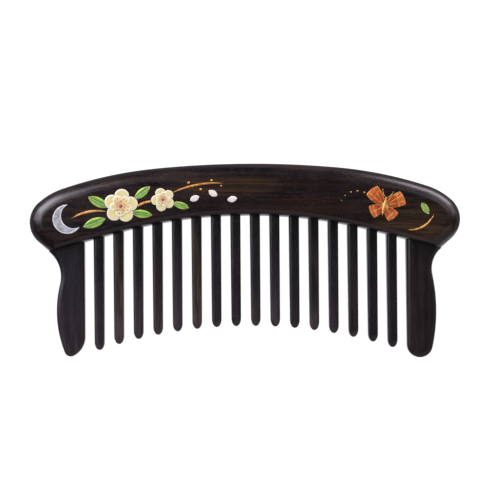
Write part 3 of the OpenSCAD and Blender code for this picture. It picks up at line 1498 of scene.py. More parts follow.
@dataclass
class Butterfly(Inlay):
    """A butterfly with copper wings in gold cells, a gold body and feelers."""

    x: float = 50.6
    y: float = 19.4
    turn: float = -14.0
    body: Lens = Lens(7.4, 1.3)
    wings: tuple[Wing, ...] = (
        Wing(Lens(13.0, 5.2), 7.8, 38.0, ((0.0, 0.0, 9.0), (0.0, 0.0, -9.0), (5.4, 0.0, 78.0))),
        Wing(Lens(9.6, 4.6), 5.6, -38.0, ((0.0, 0.0, 0.0), (3.8, 0.0, 96.0))),
    )
    rim: float = 0.16
    root: float = 1.2
    lift: float = 0.012
    plate_high: float = 0.13
    cell_low: float = 0.08
    cell_high: float = 0.16
    cell_steps: Profile = ((0.05, 0.03), (0.1, 0.03), (0.2, 0.01))
    trunk_height: float = 0.36
    head: Dome = Dome(0.5, 0.42, sides=22)
    head_drop: float = 0.9
    feeler_root: Span = (0.15, -0.7)
    feeler_tip: Span = (1.9, 2.0)
    feeler_bows: Span = (0.17, 0.45)
    feeler_height: float = 0.16
    knob: Dome = Dome(0.2, 0.2, sides=14, rings=4)
    dot_height: float = 0.2
    dots: Marks = (
        (43.4, 24.4, 0.34),
        (40.9, 25.0, 0.3),
        (38.5, 24.6, 0.26),
        (36.4, 23.4, 0.22),
        (35.0, 21.6, 0.18),
    )

    def wing_parts(self, wing: Wing, number: int) -> tuple[Piece, Piece]:
        """Models a pair of wings round the origin.

        Args:
            wing: The right wing's shape.
            number: 1 for the upper pair and 2 for the lower.

        Returns:
            The gold plate and the enamel cells of both sides.
        """
        lift = self.lift * (2 - number)
        low = self.sizes.face + self.cell_low + lift
        high = self.sizes.face + self.cell_high + lift
        plate = wing.sheet(f"wing_plate_{number}")
        cells = cells_of(plate, f"wing_cells_{number}", self.root, self.rim, low, high)
        raise_plate(plate, self.base(), self.sizes.face + self.plate_high + lift)
        crown_cells(cells, high, self.cell_steps)
        pairs = []
        for piece in (plate, cells):
            Place(0.0, 0.0).map_plan(piece, 2 * wing.reach, wing.oval.width)
            Place(0.0, 0.0, wing.tilt).put(piece)
            twin = copy_piece(piece, f"{piece.name}_left")
            turn_over(twin, (-1.0, 1.0, 1.0))
            pairs.append(join_pieces([piece, twin], piece.name))
        return pairs[0], pairs[1]

    def body_parts(self) -> Piece:
        """Models the body with its head and feelers round the origin.

        Returns:
            All of it as one piece.
        """
        base = self.base()
        half = self.body.length / 2
        bow = self.body.width / 2
        trunk = Ribbon((0.0, -half), (0.0, half), -bow, bow, self.trunk_height, steps=26, lanes=8)
        parts = [trunk.build("trunk", base), self.head.build("head", base)]
        Place(0.0, half - self.head_drop).put(parts[1])
        near, far = self.feeler_bows
        for side in (-1, 1):
            root = (side * self.feeler_root[0], half + self.feeler_root[1])
            tip = (side * self.feeler_tip[0], half + self.feeler_tip[1])
            bows = (-far, -near) if side > 0 else (near, far)
            feeler = Ribbon(root, tip, bows[0], bows[1], self.feeler_height, steps=16, lanes=4)
            parts.append(feeler.build(f"feeler_{side}", base))
            knob = self.knob.build(f"knob_{side}", base)
            Place(*tip).put(knob)
            parts.append(knob)
        return join_pieces(parts, "butterfly_body")

    def build(self) -> list[Fitting]:
        """Models the butterfly in its place.

        Returns:
            Its gold plates, cells, body and the dots behind it.
        """
        place = self.on_face(self.x, self.y, self.turn)
        plates, cells = [], []
        for number, wing in enumerate(self.wings, 1):
            plate, cell = self.wing_parts(wing, number)
            plates.append(plate)
            cells.append(cell)
        node = "butterfly_inlay"
        fittings = [
            Fitting(join_pieces(plates, "butterfly_rims"), Slot.GOLD, node, "gold"),
            Fitting(join_pieces(cells, "butterfly_wings"), Slot.COPPER, node, "wing"),
            Fitting(self.body_parts(), Slot.GOLD, node, "gold"),
        ]
        for fitting in fittings:
            place.put(fitting.piece)
        dots = self.domes("butterfly_dots", self.dots, self.dot_height, 18)
        return [*fittings, Fitting(dots, Slot.GOLD, node, "gold")]


# Materials


class Graph:
    """Builds a node tree from left to right."""

    def __init__(self, tree: bpy.types.NodeTree) -> None:
        """Takes the tree to build in."""
        self.tree = tree
        self.column = 0

    def node(self, kind: str, **settings: object) -> Node:
        """Adds a node.

        Args:
            kind: Blender's name of its type.
            **settings: The node's own settings.

        Returns:
            The node.
        """
        node = self.tree.nodes.new(kind)
        node.location = (self.column * 180, 0)
        self.column += 1
        for name, value in settings.items():
            setattr(node, name, value)
        return node

    def feed(self, socket: Socket, value: Feed) -> None:
        """Links a socket to another, or sets its constant.

        Args:
            socket: The socket that takes the value.
            value: Where it comes from, or the constant.
        """
        if isinstance(value, Socket):
            self.tree.links.new(value, socket)
        else:
            socket.default_value = value

    def feed_all(self, node: Node, values: Sequence[Feed] | dict[str, Feed]) -> None:
        """Feeds several sockets of a node, in their order or by their names."""
        for socket, value in values.items() if isinstance(values, dict) else enumerate(values):
            self.feed(node.inputs[socket], value)

    def result(self, kind: str, values: Sequence[Feed] | dict[str, Feed], **settings: object) -> Socket:
        """Adds a node and feeds it.

        Args:
            kind: Blender's name of its type.
            values: What its sockets take, in their order or by their names.
            **settings: The node's own settings.

        Returns:
            Its first output.
        """
        node = self.node(kind, **settings)
        self.feed_all(node, values)
        return node.outputs[0]

    def math(self, operation: str, *values: Feed) -> Socket:
        """Gives a sum on numbers, by Blender's name of it."""
        return self.result("ShaderNodeMath", values, operation=operation)

    def plus(self, first: Feed, second: Feed) -> Socket:
        """Adds two numbers."""
        return self.math("ADD", first, second)

    def minus(self, first: Feed, second: Feed) -> Socket:
        """Takes the second number from the first."""
        return self.math("SUBTRACT", first, second)

    def times(self, first: Feed, second: Feed) -> Socket:
        """Multiplies two numbers."""
        return self.math("MULTIPLY", first, second)

    def vector(self, operation: str, *values: Feed) -> Socket:
        """Gives a sum on vectors, by Blender's name of it."""
        return self.result("ShaderNodeVectorMath", values, operation=operation)

    def mix(self, share: Feed, first: Feed, second: Feed, kind: str = "MIX") -> Socket:
        """Blends two colours.

        Args:
            share: How much the second one counts, from 0 to 1.
            first: The first colour.
            second: The second colour.
            kind: Blender's name of the way to blend.

        Returns:
            The blended colour.
        """
        node = self.node("ShaderNodeMix", data_type="RGBA", blend_type=kind)
        ends = [s for s in node.inputs if s.type == "RGBA"]
        self.feed(node.inputs[0], share)
        for socket, value in zip(ends, (first, second)):
            self.feed(socket, value if isinstance(value, Socket) else (*value[:3], 1.0))
        return next(s for s in node.outputs if s.type == "RGBA")

    def spread(
        self, value: Feed, low: float, high: float, to_low: float = 0.0, to_high: float = 1.0
    ) -> Socket:
        """Carries a number smoothly from one span to another, and holds it at the ends."""
        values = (value, low, high, to_low, to_high)
        return self.result("ShaderNodeMapRange", values, interpolation_type="SMOOTHSTEP")

    def noise(self, place: Feed, scale: float, detail: float = 2.0, rough: float = 0.5) -> Socket:
        """Gives noise from 0 to 1, with finer layers by its detail and their strength."""
        values = {"Vector": place, "Scale": scale, "Detail": detail, "Roughness": rough}
        return self.result("ShaderNodeTexNoise", values, noise_dimensions="3D")

    def stretched(
        self, place: Feed, scales: Sequence[float], detail: float, rough: float = 0.5
    ) -> Socket:
        """Gives noise that has a scale of its own along each axis."""
        return self.noise(self.vector("MULTIPLY", place, scales), 1.0, detail, rough)

    def parts(self, place: Feed) -> tuple[Socket, ...]:
        """Takes a vector apart into X, Y and Z."""
        first = self.result("ShaderNodeSeparateXYZ", (place,))
        return tuple(first.node.outputs)

    def joined(self, *values: Feed) -> Socket:
        """Puts a vector together from X, Y and Z."""
        return self.result("ShaderNodeCombineXYZ", values)


class SharedGroup:
    """A node group that several materials use, made once. The place that it takes is in millimetres."""

    name = ""
    inputs: tuple[tuple[str, str], ...] = (("Place", "NodeSocketVector"),)
    outputs: tuple[str, ...] = ()

    def tree(self) -> bpy.types.NodeTree:
        """Builds the group the first time that it is asked for.

        Returns:
            The group's node tree.
        """
        found = bpy.data.node_groups.get(self.name)
        if found:
            return found
        tree = bpy.data.node_groups.new(self.name, "ShaderNodeTree")
        for name, kind in self.inputs:
            tree.interface.new_socket(name=name, in_out="INPUT", socket_type=kind)
        for name in self.outputs:
            tree.interface.new_socket(name=name, in_out="OUTPUT", socket_type="NodeSocketFloat")
        graph = Graph(tree)
        given = graph.node("NodeGroupInput")
        results = self.results(graph, given.outputs)
        graph.feed_all(graph.node("NodeGroupOutput"), results)
        return tree

    def results(self, graph: Graph, given: Sockets) -> dict[str, Feed]:
        """Builds the inside of the group.

        Args:
            graph: The group's graph.
            given: The sockets that come in.

        Returns:
            What goes out, by name.
        """
        raise NotImplementedError

    def use(self, graph: Graph, **values: Feed) -> Sockets:
        """Puts the group in a material's graph.

        Args:
            graph: The material's graph.
            **values: What goes in, by name.

        Returns:
            The group's outputs.
        """
        node = graph.node("ShaderNodeGroup")
        node.node_tree = self.tree()
        graph.feed_all(node, values)
        return node.outputs


class WoodFigure(SharedGroup):
    """Fine straight grain along X, with slow bands, streaks and pores."""

    name = "wood_figure"
    outputs = ("Band", "Streak", "Pore", "Relief")
    bend_scales = (0.014, 0.03, 0.03)
    bend_reach = 9.0
    band_scales = (0.012, 0.15, 0.15)
    streak_scales = (0.014, 0.6, 0.6)
    fine_scales = (0.06, 3.4, 3.4)
    fine_share = 0.24
    fine_relief = 0.35
    figure_span = (0.42, 0.62)
    pore_scales = (0.4, 8.0, 8.0)
    pore_span = (0.66, 0.78)

    def results(self, graph: Graph, given: Sockets) -> dict[str, Feed]:
        """Builds the grain from stretched noise, bent by slow waves."""
        place = given["Place"]
        bend = graph.stretched(place, self.bend_scales, 1.0)
        lift = graph.times(graph.minus(bend, 0.5), self.bend_reach)
        bent = graph.vector("ADD", place, graph.joined(0.0, lift, lift))
        band = graph.stretched(bent, self.band_scales, 1.0)
        streak = graph.stretched(bent, self.streak_scales, 3.0, 0.6)
        fine = graph.stretched(bent, self.fine_scales, 2.0)
        pores = graph.spread(graph.stretched(bent, self.pore_scales, 0.0), *self.pore_span)
        coarse = graph.times(streak, 1.0 - self.fine_share)
        both = graph.plus(coarse, graph.times(fine, self.fine_share))
        return {
            "Band": graph.spread(band, *self.figure_span),
            "Streak": graph.spread(both, *self.figure_span),
            "Pore": pores,
            "Relief": graph.minus(graph.times(fine, self.fine_relief), pores),
        }


class Handling(SharedGroup):
    """The marks of use: faint smudges, fine scratches and a little dust."""

    name = "handling"
    outputs = ("Smudge", "Scratch", "Dust")
    smudge_scale = 0.09
    smudge_span = (0.35, 0.7)
    scratch_turn = 0.42
    scratch_scales = (0.05, 9.0, 1.0)
    scratch_span = (0.72, 0.78)
    scratched_scale = 0.12
    scratched_span = (0.52, 0.66)
    dust_scale = 3.4
    dust_span = (0.77, 0.84)

    def results(self, graph: Graph, given: Sockets) -> dict[str, Feed]:
        """Builds the marks from noise at three scales."""
        place = given["Place"]
        smudge = graph.noise(place, self.smudge_scale, 3.0, 0.55)
        values = {"Vector": place, "Angle": self.scratch_turn}
        turned = graph.result("ShaderNodeVectorRotate", values, rotation_type="Z_AXIS")
        lines = graph.spread(graph.stretched(turned, self.scratch_scales, 1.0), *self.scratch_span)
        where = graph.spread(graph.noise(place, self.scratched_scale, 1.0), *self.scratched_span)
        return {
            "Smudge": graph.spread(smudge, *self.smudge_span),
            "Scratch": graph.times(lines, where),
            "Dust": graph.spread(graph.noise(place, self.dust_scale, 1.0), *self.dust_span),
        }


class WornEdge(SharedGroup):
    """A mask of the edges that hands and hair polish."""

    name = "worn_edge"
    inputs = (("Place", "NodeSocketVector"), ("Reach", "NodeSocketFloat"))
    outputs = ("Wear",)
    edge_span = (0.999, 0.94)
    patch_scale = 0.3
    patch_span = (0.38, 0.62)

    def results(self, graph: Graph, given: Sockets) -> dict[str, Feed]:
        """Compares the surface's direction with one that is rounded over the reach."""
        bevel = graph.result("ShaderNodeBevel", {"Radius": given["Reach"]}, samples=4)
        own = graph.node("ShaderNodeNewGeometry").outputs["Normal"]
        turn = graph.vector("DOT_PRODUCT", bevel, own).node.outputs["Value"]
        edge = graph.spread(turn, *self.edge_span)
        patch = graph.spread(graph.noise(given["Place"], self.patch_scale), *self.patch_span)
        return {"Wear": graph.times(edge, patch)}


class EnamelCloud(SharedGroup):
    """Soft clouds and a faint grain within enamel."""

    name = "enamel_cloud"
    outputs = ("Cloud", "Grain", "Relief")
    cloud_scale = 0.7
    cloud_span = (0.32, 0.68)
    grain_scale = 7.0
    grain_span = (0.3, 0.7)
    grain_relief = 0.3

    def results(self, graph: Graph, given: Sockets) -> dict[str, Feed]:
        """Builds the clouds from noise at two scales."""
        cloud = graph.noise(given["Place"], self.cloud_scale, 3.0, 0.6)
        grain = graph.noise(given["Place"], self.grain_scale, 2.0, 0.7)
        return {
            "Cloud": graph.spread(cloud, *self.cloud_span),
            "Grain": graph.spread(grain, *self.grain_span),
            "Relief": graph.plus(graph.times(grain, self.grain_relief), cloud),
        }


class Finish:
    """What all materials share."""

    def material(self, name: str) -> bpy.types.Material:
        """Makes the material.

        Args:
            name: Its name.

        Returns:
            The material.
        """
        material = bpy.data.materials.new(name)
        material.use_nodes = True
        material.node_tree.nodes.clear()
        graph = Graph(material.node_tree)
        coordinates = graph.node("ShaderNodeTexCoord")
        place = graph.vector("MULTIPLY", coordinates.outputs["Object"], (1 / MM, 1 / MM, 1 / MM))
        surface = graph.node("ShaderNodeBsdfPrincipled")
        self.build(graph, place, surface)
        end = graph.node("ShaderNodeOutputMaterial")
        graph.feed(end.inputs["Surface"], surface.outputs[0])
        return material

    def bump(self, graph: Graph, surface: Node, height: Feed, depth: float) -> None:
        """Gives the surface a relief, by a height from 0 to 1 and its depth."""
        values = {"Strength": 1.0, "Distance": depth * MM, "Height": height}
        graph.feed(surface.inputs["Normal"], graph.result("ShaderNodeBump", values))

    def plan(self, graph: Graph) -> tuple[Socket, ...]:
        """Gives the place within a piece's own length and width, each from 0 to 1."""
        node = graph.node("ShaderNodeUVMap", uv_map=PLAN_MAP)
        return graph.parts(node.outputs[0])[:2]

    def build(self, graph: Graph, place: Feed, surface: Node) -> None:
        """Builds the colour, shine and relief.

        Args:
            graph: The material's graph.
            place: The place.
            surface: The shader to feed.
        """
        raise NotImplementedError


@dataclass(frozen=True)
class Patch:
    """A soft oval patch on the comb, by its middle and its reach from there in millimetres."""

    x: float
    y: float
    reach_x: float
    reach_y: float

    def mask(self, graph: Graph, x: Feed, y: Feed) -> Socket:
        """Builds a mask of the patch, soft towards its edge.

        Args:
            graph: The material's graph.
            x: The place along the comb.
            y: The place across it.

        Returns:
            1 in the middle of the patch, and 0 outside it.
        """
        across = graph.math("DIVIDE", graph.minus(x, self.x), self.reach_x)
        up = graph.math("DIVIDE", graph.minus(y, self.y), self.reach_y)
        far = graph.plus(graph.times(across, across), graph.times(up, up))
        return graph.spread(far, 1.0, 0.1)


@dataclass(frozen=True)
class WoodFinish(Finish):
    """Dark close-grained wood with a satin polish. Where it is upright, it is a tooth's.

    The teeth differ in tone. Painted shade darkens them towards the spine that stands over them, and
    painted light makes their tips paler and lavender.
    """

    dark: Colour
    light: Colour
    band: Colour
    upright: bool = False
    pitch: float = 7.1436
    pitches: int = 8
    tone_seed: float = 51259.5
    tone_shift: float = 300.0
    streaks: float = 0.7
    bands: float = 0.4
    vary: float = 0.0
    roughness: float = 0.3
    ior: float = 1.5
    # Painted shade at the teeth's roots: how dark it gets, how far it reaches, and how much less it is on
    # the guard teeth.
    painted_shade_depth: float = 0.0
    painted_shade_reach: float = 20.0
    guard_from: float = 57.5
    guard_shade_offset: float = 9.0
    # Colour of the patches: heartwood on the spine, and painted light on the teeth, where it makes the
    # tips paler and lavender.
    heartwood_and_lit_tip_colour: Colour = (0.0, 0.0, 0.0)
    patches: tuple[Patch, ...] = ()
    patch_share: float = 0.75
    patch_least: float = 0.3
    pore_colour: Colour = (0.002, 0.002, 0.002)
    pore_share: float = 0.55
    pore_rough: float = 0.2
    wear_reach: float = 0.5
    wear_share: float = 0.25
    dust_colour: Colour = (0.4, 0.38, 0.36)
    dust_share: float = 0.06
    smudge_rough: float = 0.06
    scratch_depth: float = 0.4
    relief_depth: float = 0.006

    def painted_root_shade(self, graph: Graph, x: Feed, y: Feed) -> Socket:
        """Builds painted shade that darkens the teeth towards the spine, where it stands over them, the
        broad guard teeth less than the others.

        Args:
            graph: The material's graph.
            x: The place along the comb.
            y: The place across it.

        Returns:
            What the colour is multiplied by.
        """
        edge = LowerEdge(1.0)
        up = graph.minus(y, edge.near_centre().y)
        square = graph.plus(graph.times(x, x), graph.times(up, up))
        below = graph.minus(edge.near.radius, graph.math("SQRT", square))
        broad = graph.spread(graph.math("ABSOLUTE", x), self.guard_from, self.guard_from + 1.0)
        below = graph.plus(below, graph.times(broad, self.guard_shade_offset))
        return graph.spread(below, 0.0, self.painted_shade_reach, 1.0 - self.painted_shade_depth, 1.0)

    def tooth_tone(self, graph: Graph, x: Feed) -> Socket:
        """Builds a chance number for each tooth, the same over all of it.

        Args:
            graph: The material's graph.
            x: The place along the comb.

        Returns:
            The number from 0 to 1.
        """
        number = graph.math("FLOOR", graph.math("DIVIDE", x, self.pitch))
        number = graph.math("MAXIMUM", number, -1.0 - self.pitches)
        number = graph.math("MINIMUM", number, self.pitches)
        values = {"W": graph.plus(number, self.tone_seed)}
        return graph.result("ShaderNodeTexWhiteNoise", values, noise_dimensions="1D")

    def build(self, graph: Graph, place: Feed, surface: Node) -> None:
        """Builds the wood."""
        x, y, z = graph.parts(place)
        tone: Feed = 0.5
        along = place
        if self.upright:
            tone = self.tooth_tone(graph, x)
            along = graph.joined(graph.plus(y, graph.times(tone, self.tone_shift)), x, z)
        figure = WoodFigure().use(graph, Place=along)
        marks = Handling().use(graph, Place=place)
        wear = WornEdge().use(graph, Place=place, Reach=self.wear_reach * MM)
        colour = graph.mix(graph.times(figure["Streak"], self.streaks), self.dark, self.light)
        colour = graph.mix(graph.times(figure["Band"], self.bands), colour, self.band)
        # On the spine the patches are heartwood. On the teeth they are painted light that makes the tips
        # paler and lavender.
        for patch in self.patches:
            least = self.patch_least * self.patch_share
            share = graph.spread(figure["Streak"], 0.0, 1.0, least, self.patch_share)
            share = graph.times(patch.mask(graph, x, y), share)
            colour = graph.mix(share, colour, self.heartwood_and_lit_tip_colour)
        level = graph.spread(tone, 0.0, 1.0, 1.0 - self.vary, 1.0 + self.vary)
        # Painted shade: the teeth darken towards the spine, which stands over them.
        if self.painted_shade_depth:
            level = graph.times(level, self.painted_root_shade(graph, x, y))
        colour = graph.mix(1.0, colour, graph.joined(level, level, level), "MULTIPLY")
        colour = graph.mix(graph.times(figure["Pore"], self.pore_share), colour, self.pore_colour)
        colour = graph.mix(graph.times(wear["Wear"], self.wear_share), colour, self.light)
        colour = graph.mix(graph.times(marks["Dust"], self.dust_share), colour, self.dust_colour)
        rough = graph.plus(self.roughness, graph.times(marks["Smudge"], self.smudge_rough))
        rough = graph.plus(rough, graph.times(figure["Pore"], self.pore_rough))
        graph.feed_all(surface, {"Base Color": colour, "Roughness": rough, "IOR": self.ior})
        relief = graph.minus(figure["Relief"], graph.times(marks["Scratch"], self.scratch_depth))
        self.bump(graph, surface, relief, self.relief_depth)


@dataclass(frozen=True)
class EnamelFinish(Finish):
    """What the enamels share: a satin surface under a thin clear coat, with clouds and a relief."""

    roughness: float = 0.3
    coat: float = 0.2
    coat_roughness: float = 0.2
    metallic: float = 0.0
    relief_depth: float = 0.02

    def glaze(self, graph: Graph, surface: Node, colour: Feed, relief: Feed) -> None:
        """Feeds the shader.

        Args:
            graph: The material's graph.
            surface: The shader to feed.
            colour: The enamel's colour.
            relief: Its relief from 0 to 1.
        """
        values = {
            "Base Color": colour,
            "Metallic": self.metallic,
            "Roughness": self.roughness,
            "Coat Weight": self.coat,
            "Coat Roughness": self.coat_roughness,
        }
        graph.feed_all(surface, values)
        self.bump(graph, surface, relief, self.relief_depth)


@dataclass(frozen=True, kw_only=True)
class PetalFinish(EnamelFinish):
    """Pale enamel that is warm at the flower's heart and fades to a paler lip, with fine veins."""

    heart: Colour
    body: Colour
    lip: Colour
    blush: Colour
    heart_start: float = 0.02
    heart_end: float = 0.42
    fan_start: float = 0.35
    vein_scales: Spot = (0.8, 13.0, 1.0)
    vein_span: Span = (0.6, 0.75)
    vein_share: float = 0.35
    vein_relief: float = 0.8
    drift: float = 0.35
    lip_span: Span = (0.13, 0.23)
    blush_share: float = 0.4

    def build(self, graph: Graph, place: Feed, surface: Node) -> None:
        """Builds the petal's colours along its length."""
        along, across = self.plan(graph)
        cloud = EnamelCloud().use(graph, Place=place)
        off = graph.minus(across, 0.5)
        fan = graph.math("DIVIDE", off, graph.plus(along, self.fan_start))
        vein = graph.stretched(graph.joined(along, fan, 0.0), self.vein_scales, 2.0)
        drift = graph.plus(along, graph.times(graph.minus(vein, 0.5), self.drift))
        colour = graph.mix(graph.spread(drift, self.heart_end, self.heart_start), self.body, self.heart)
        out = graph.minus(along, 0.5)
        away = graph.plus(graph.times(off, off), graph.times(out, out))
        colour = graph.mix(graph.spread(away, *self.lip_span), colour, self.lip)
        colour = graph.mix(graph.times(cloud["Cloud"], self.blush_share), colour, self.blush)
        veined = graph.times(graph.spread(vein, *self.vein_span), self.vein_share)
        colour = graph.mix(veined, colour, self.heart)
        relief = graph.plus(cloud["Relief"], graph.times(vein, self.vein_relief))
        self.glaze(graph, surface, colour, relief)


@dataclass(frozen=True, kw_only=True)
class LeafFinish(EnamelFinish):
    """Green enamel that goes from a dark rib to a yellow-green edge, with side veins."""

    rib: Colour
    body: Colour
    edge: Colour
    relief_depth: float = 0.015
    drift: float = 0.08
    rib_span: Span = (0.02, 0.2)
    edge_span: Span = (0.2, 0.42)
    vein_slant: float = 0.5
    vein_turns: float = 52.0
    vein_span: Span = (0.72, 1.0)
    vein_share: float = 0.4

    def build(self, graph: Graph, place: Feed, surface: Node) -> None:
        """Builds the leaf's colours across its width."""
        along, across = self.plan(graph)
        cloud = EnamelCloud().use(graph, Place=place)
        off = graph.math("ABSOLUTE", graph.minus(across, 0.5))
        drift = graph.plus(off, graph.times(graph.minus(cloud["Cloud"], 0.5), self.drift))
        colour = graph.mix(graph.spread(drift, *self.rib_span), self.rib, self.body)
        colour = graph.mix(graph.spread(drift, *self.edge_span), colour, self.edge)
        slant = graph.minus(along, graph.times(off, self.vein_slant))
        wave = graph.math("SINE", graph.times(slant, self.vein_turns))
        veined = graph.times(graph.spread(wave, *self.vein_span), self.vein_share)
        colour = graph.mix(veined, colour, self.rib)
        self.glaze(graph, surface, colour, cloud["Relief"])


@dataclass(frozen=True, kw_only=True)
class WingFinish(EnamelFinish):
    """Copper-coloured enamel that goes from bronze at the body to orange at the wing's edge."""

    root: Colour
    body: Colour
    edge: Colour
    roughness: float = 0.28
    coat: float = 0.25
    coat_roughness: float = 0.15
    metallic: float = 0.25
    drift: float = 0.12
    body_span: Span = (0.52, 0.74)
    edge_span: Span = (0.74, 0.98)
    grain_share: float = 0.2

    def build(self, graph: Graph, place: Feed, surface: Node) -> None:
        """Builds the wing's colours along its length."""
        along, _ = self.plan(graph)
        cloud = EnamelCloud().use(graph, Place=place)
        out = graph.plus(along, graph.times(graph.minus(cloud["Cloud"], 0.5), self.drift))
        colour = graph.mix(graph.spread(out, *self.body_span), self.root, self.body)
        colour = graph.mix(graph.spread(out, *self.edge_span), colour, self.edge)
        colour = graph.mix(graph.times(cloud["Grain"], self.grain_share), colour, self.root)
        self.glaze(graph, surface, colour, cloud["Relief"])


@dataclass(frozen=True)
class MetalFinish(Finish):
    """Metal leaf or paint: cloudy in tone, with a fine speckle where it has one."""

    dark: Colour
    light: Colour
    metallic: float = 0.5
    roughness: float = 0.42
    speckle: float = 0.0
    spot_scale: float = 4.6
    spot_span: Span = (0.4, 0.6)
    relief_depth: float = 0.02

    def build(self, graph: Graph, place: Feed, surface: Node) -> None:
        """Builds the metal."""
        cloud = EnamelCloud().use(graph, Place=place)
        colour = graph.mix(cloud["Cloud"], self.dark, self.light)
        spots = graph.spread(graph.noise(place, self.spot_scale, 2.0, 0.7), *self.spot_span)
        colour = graph.mix(graph.times(spots, self.speckle), colour, self.dark)
        values = {"Base Color": colour, "Metallic": self.metallic, "Roughness": self.roughness}
        graph.feed_all(surface, values)
        self.bump(graph, surface, cloud["Relief"], self.relief_depth * (1.0 + self.speckle))


@dataclass(frozen=True)
class FloorFinish(Finish):
    """A plain white backdrop that throws little light back at the comb, but for a pad under the teeth.

    Away to the upper right the backdrop brightens again, and lights the edge of the comb's shoulder.
    The pad's right edge and the corner's are slanted, and lie where X and Y add up to a number.
    """

    shade: float = 0.1
    roughness: float = 0.9
    glow: float = 1.0
    bounce: float = 0.12
    pad_bounce: float = 0.9
    pad_left: float = -78.0
    pad_right: float = 90.0
    pad_low: float = -60.0
    pad_high: float = 17.0
    fade: float = 6.0
    corner_bounce: float = 0.45
    corner_start: float = 112.0
    corner_full: float = 175.0
    tint: Colour = (0.96, 0.9, 1.0)

    def build(self, graph: Graph, place: Feed, surface: Node) -> None:
        """Builds the backdrop, which shines white at the camera and less at the comb."""
        seen = graph.node("ShaderNodeLightPath").outputs["Is Camera Ray"]
        x, y, _ = graph.parts(place)
        corner = graph.spread(graph.plus(x, y), self.corner_start, self.corner_full)
        left = graph.spread(x, self.pad_left - self.fade, self.pad_left)
        right = graph.spread(graph.plus(y, x), self.pad_right + self.fade, self.pad_right)
        low = graph.spread(y, self.pad_low - self.fade, self.pad_low)
        high = graph.spread(y, self.pad_high + self.fade, self.pad_high)
        pad = graph.times(graph.times(left, right), graph.times(low, high))
        given = graph.times(pad, self.pad_bounce - self.bounce)
        given = graph.plus(given, self.bounce)
        given = graph.plus(given, graph.times(corner, self.corner_bounce))
        unseen = graph.times(graph.minus(1.0, seen), given)
        values = {
            "Base Color": (self.shade, self.shade, self.shade, 1.0),
            "Roughness": self.roughness,
            "Specular IOR Level": 0.0,
            "Emission Color": graph.mix(seen, self.tint, (1.0, 1.0, 1.0)),
            "Emission Strength": graph.plus(unseen, graph.times(seen, self.glow)),
        }
        graph.feed_all(surface, values)


SPINE_WOOD = WoodFinish(
    paint(5, 5, 10), paint(46, 29, 20), paint(30, 19, 15), streaks=0.8, bands=0.5, roughness=0.24,
    heartwood_and_lit_tip_colour=paint(66, 49, 30),
    patches=(Patch(-7.0, 27.5, 26.0, 4.2), Patch(61.0, 12.5, 17.0, 7.0)),
)
# Painted light: the teeth's tips are made paler and lavender, as if more lit away from the spine.
PAINTED_LIT_TIPS = (Patch(-36.0, -40.0, 44.0, 40.0), Patch(12.0, -40.0, 40.0, 36.0))
DARK_WOOD = WoodFinish(
    paint(20, 17, 22), paint(35, 29, 34), paint(12, 10, 14), upright=True, vary=0.3,
    painted_shade_depth=0.9, heartwood_and_lit_tip_colour=paint(61, 53, 56), patches=PAINTED_LIT_TIPS, patch_share=0.72,
)
HALF_BROWN_WOOD = WoodFinish(
    paint(18, 14, 15), paint(40, 32, 28), paint(18, 13, 12), upright=True, streaks=0.8, vary=0.2,
    painted_shade_depth=0.85, heartwood_and_lit_tip_colour=paint(64, 56, 57), patches=PAINTED_LIT_TIPS, patch_share=0.85,
)
BROWN_WOOD = WoodFinish(
    paint(30, 24, 18), paint(74, 61, 45), paint(30, 22, 16), upright=True, streaks=0.9, vary=0.12,
    painted_shade_depth=0.7, heartwood_and_lit_tip_colour=paint(66, 59, 59), patches=PAINTED_LIT_TIPS, patch_share=0.9,
)
FINISHES: dict[str, Finish] = {
    Slot.SPINE.value: SPINE_WOOD,
    Slot.DARK_TOOTH.value: DARK_WOOD,
    Slot.HALF_BROWN_TOOTH.value: HALF_BROWN_WOOD,
    Slot.BROWN_TOOTH.value: BROWN_WOOD,
    "petal": PetalFinish(
        heart=paint(170, 164, 58),
        body=paint(222, 216, 132),
        lip=paint(238, 235, 220),
        blush=paint(208, 196, 188),
        heart_end=0.7,
    ),
    "inner_petal": PetalFinish(
        heart=paint(190, 120, 44),
        body=paint(226, 220, 160),
        lip=paint(238, 236, 226),
        blush=paint(212, 200, 190),
        heart_end=0.55,
    ),
    "loose_petal": PetalFinish(
        heart=paint(206, 194, 140),
        body=paint(228, 224, 212),
        lip=paint(240, 238, 234),
        blush=paint(210, 200, 200),
    ),
    "leaf": LeafFinish(rib=paint(30, 106, 52), body=paint(104, 168, 72), edge=paint(184, 212, 92)),
    "leaf_rim": MetalFinish(paint(156, 166, 56), paint(210, 216, 116), metallic=0.25),
    "wing": WingFinish(root=paint(112, 56, 28), body=paint(192, 82, 38), edge=paint(230, 126, 62)),
    "gold": MetalFinish(paint(186, 116, 48), paint(234, 184, 100), metallic=0.35),
    "heart": MetalFinish(paint(122, 62, 22), paint(198, 130, 52), metallic=0.35, speckle=0.6),
    "silver_rim": MetalFinish(paint(198, 202, 204), paint(232, 234, 234), metallic=0.3),
    "silver_field": MetalFinish(paint(136, 141, 143), paint(202, 206, 206), metallic=0.25, speckle=0.6),
}


# The studio


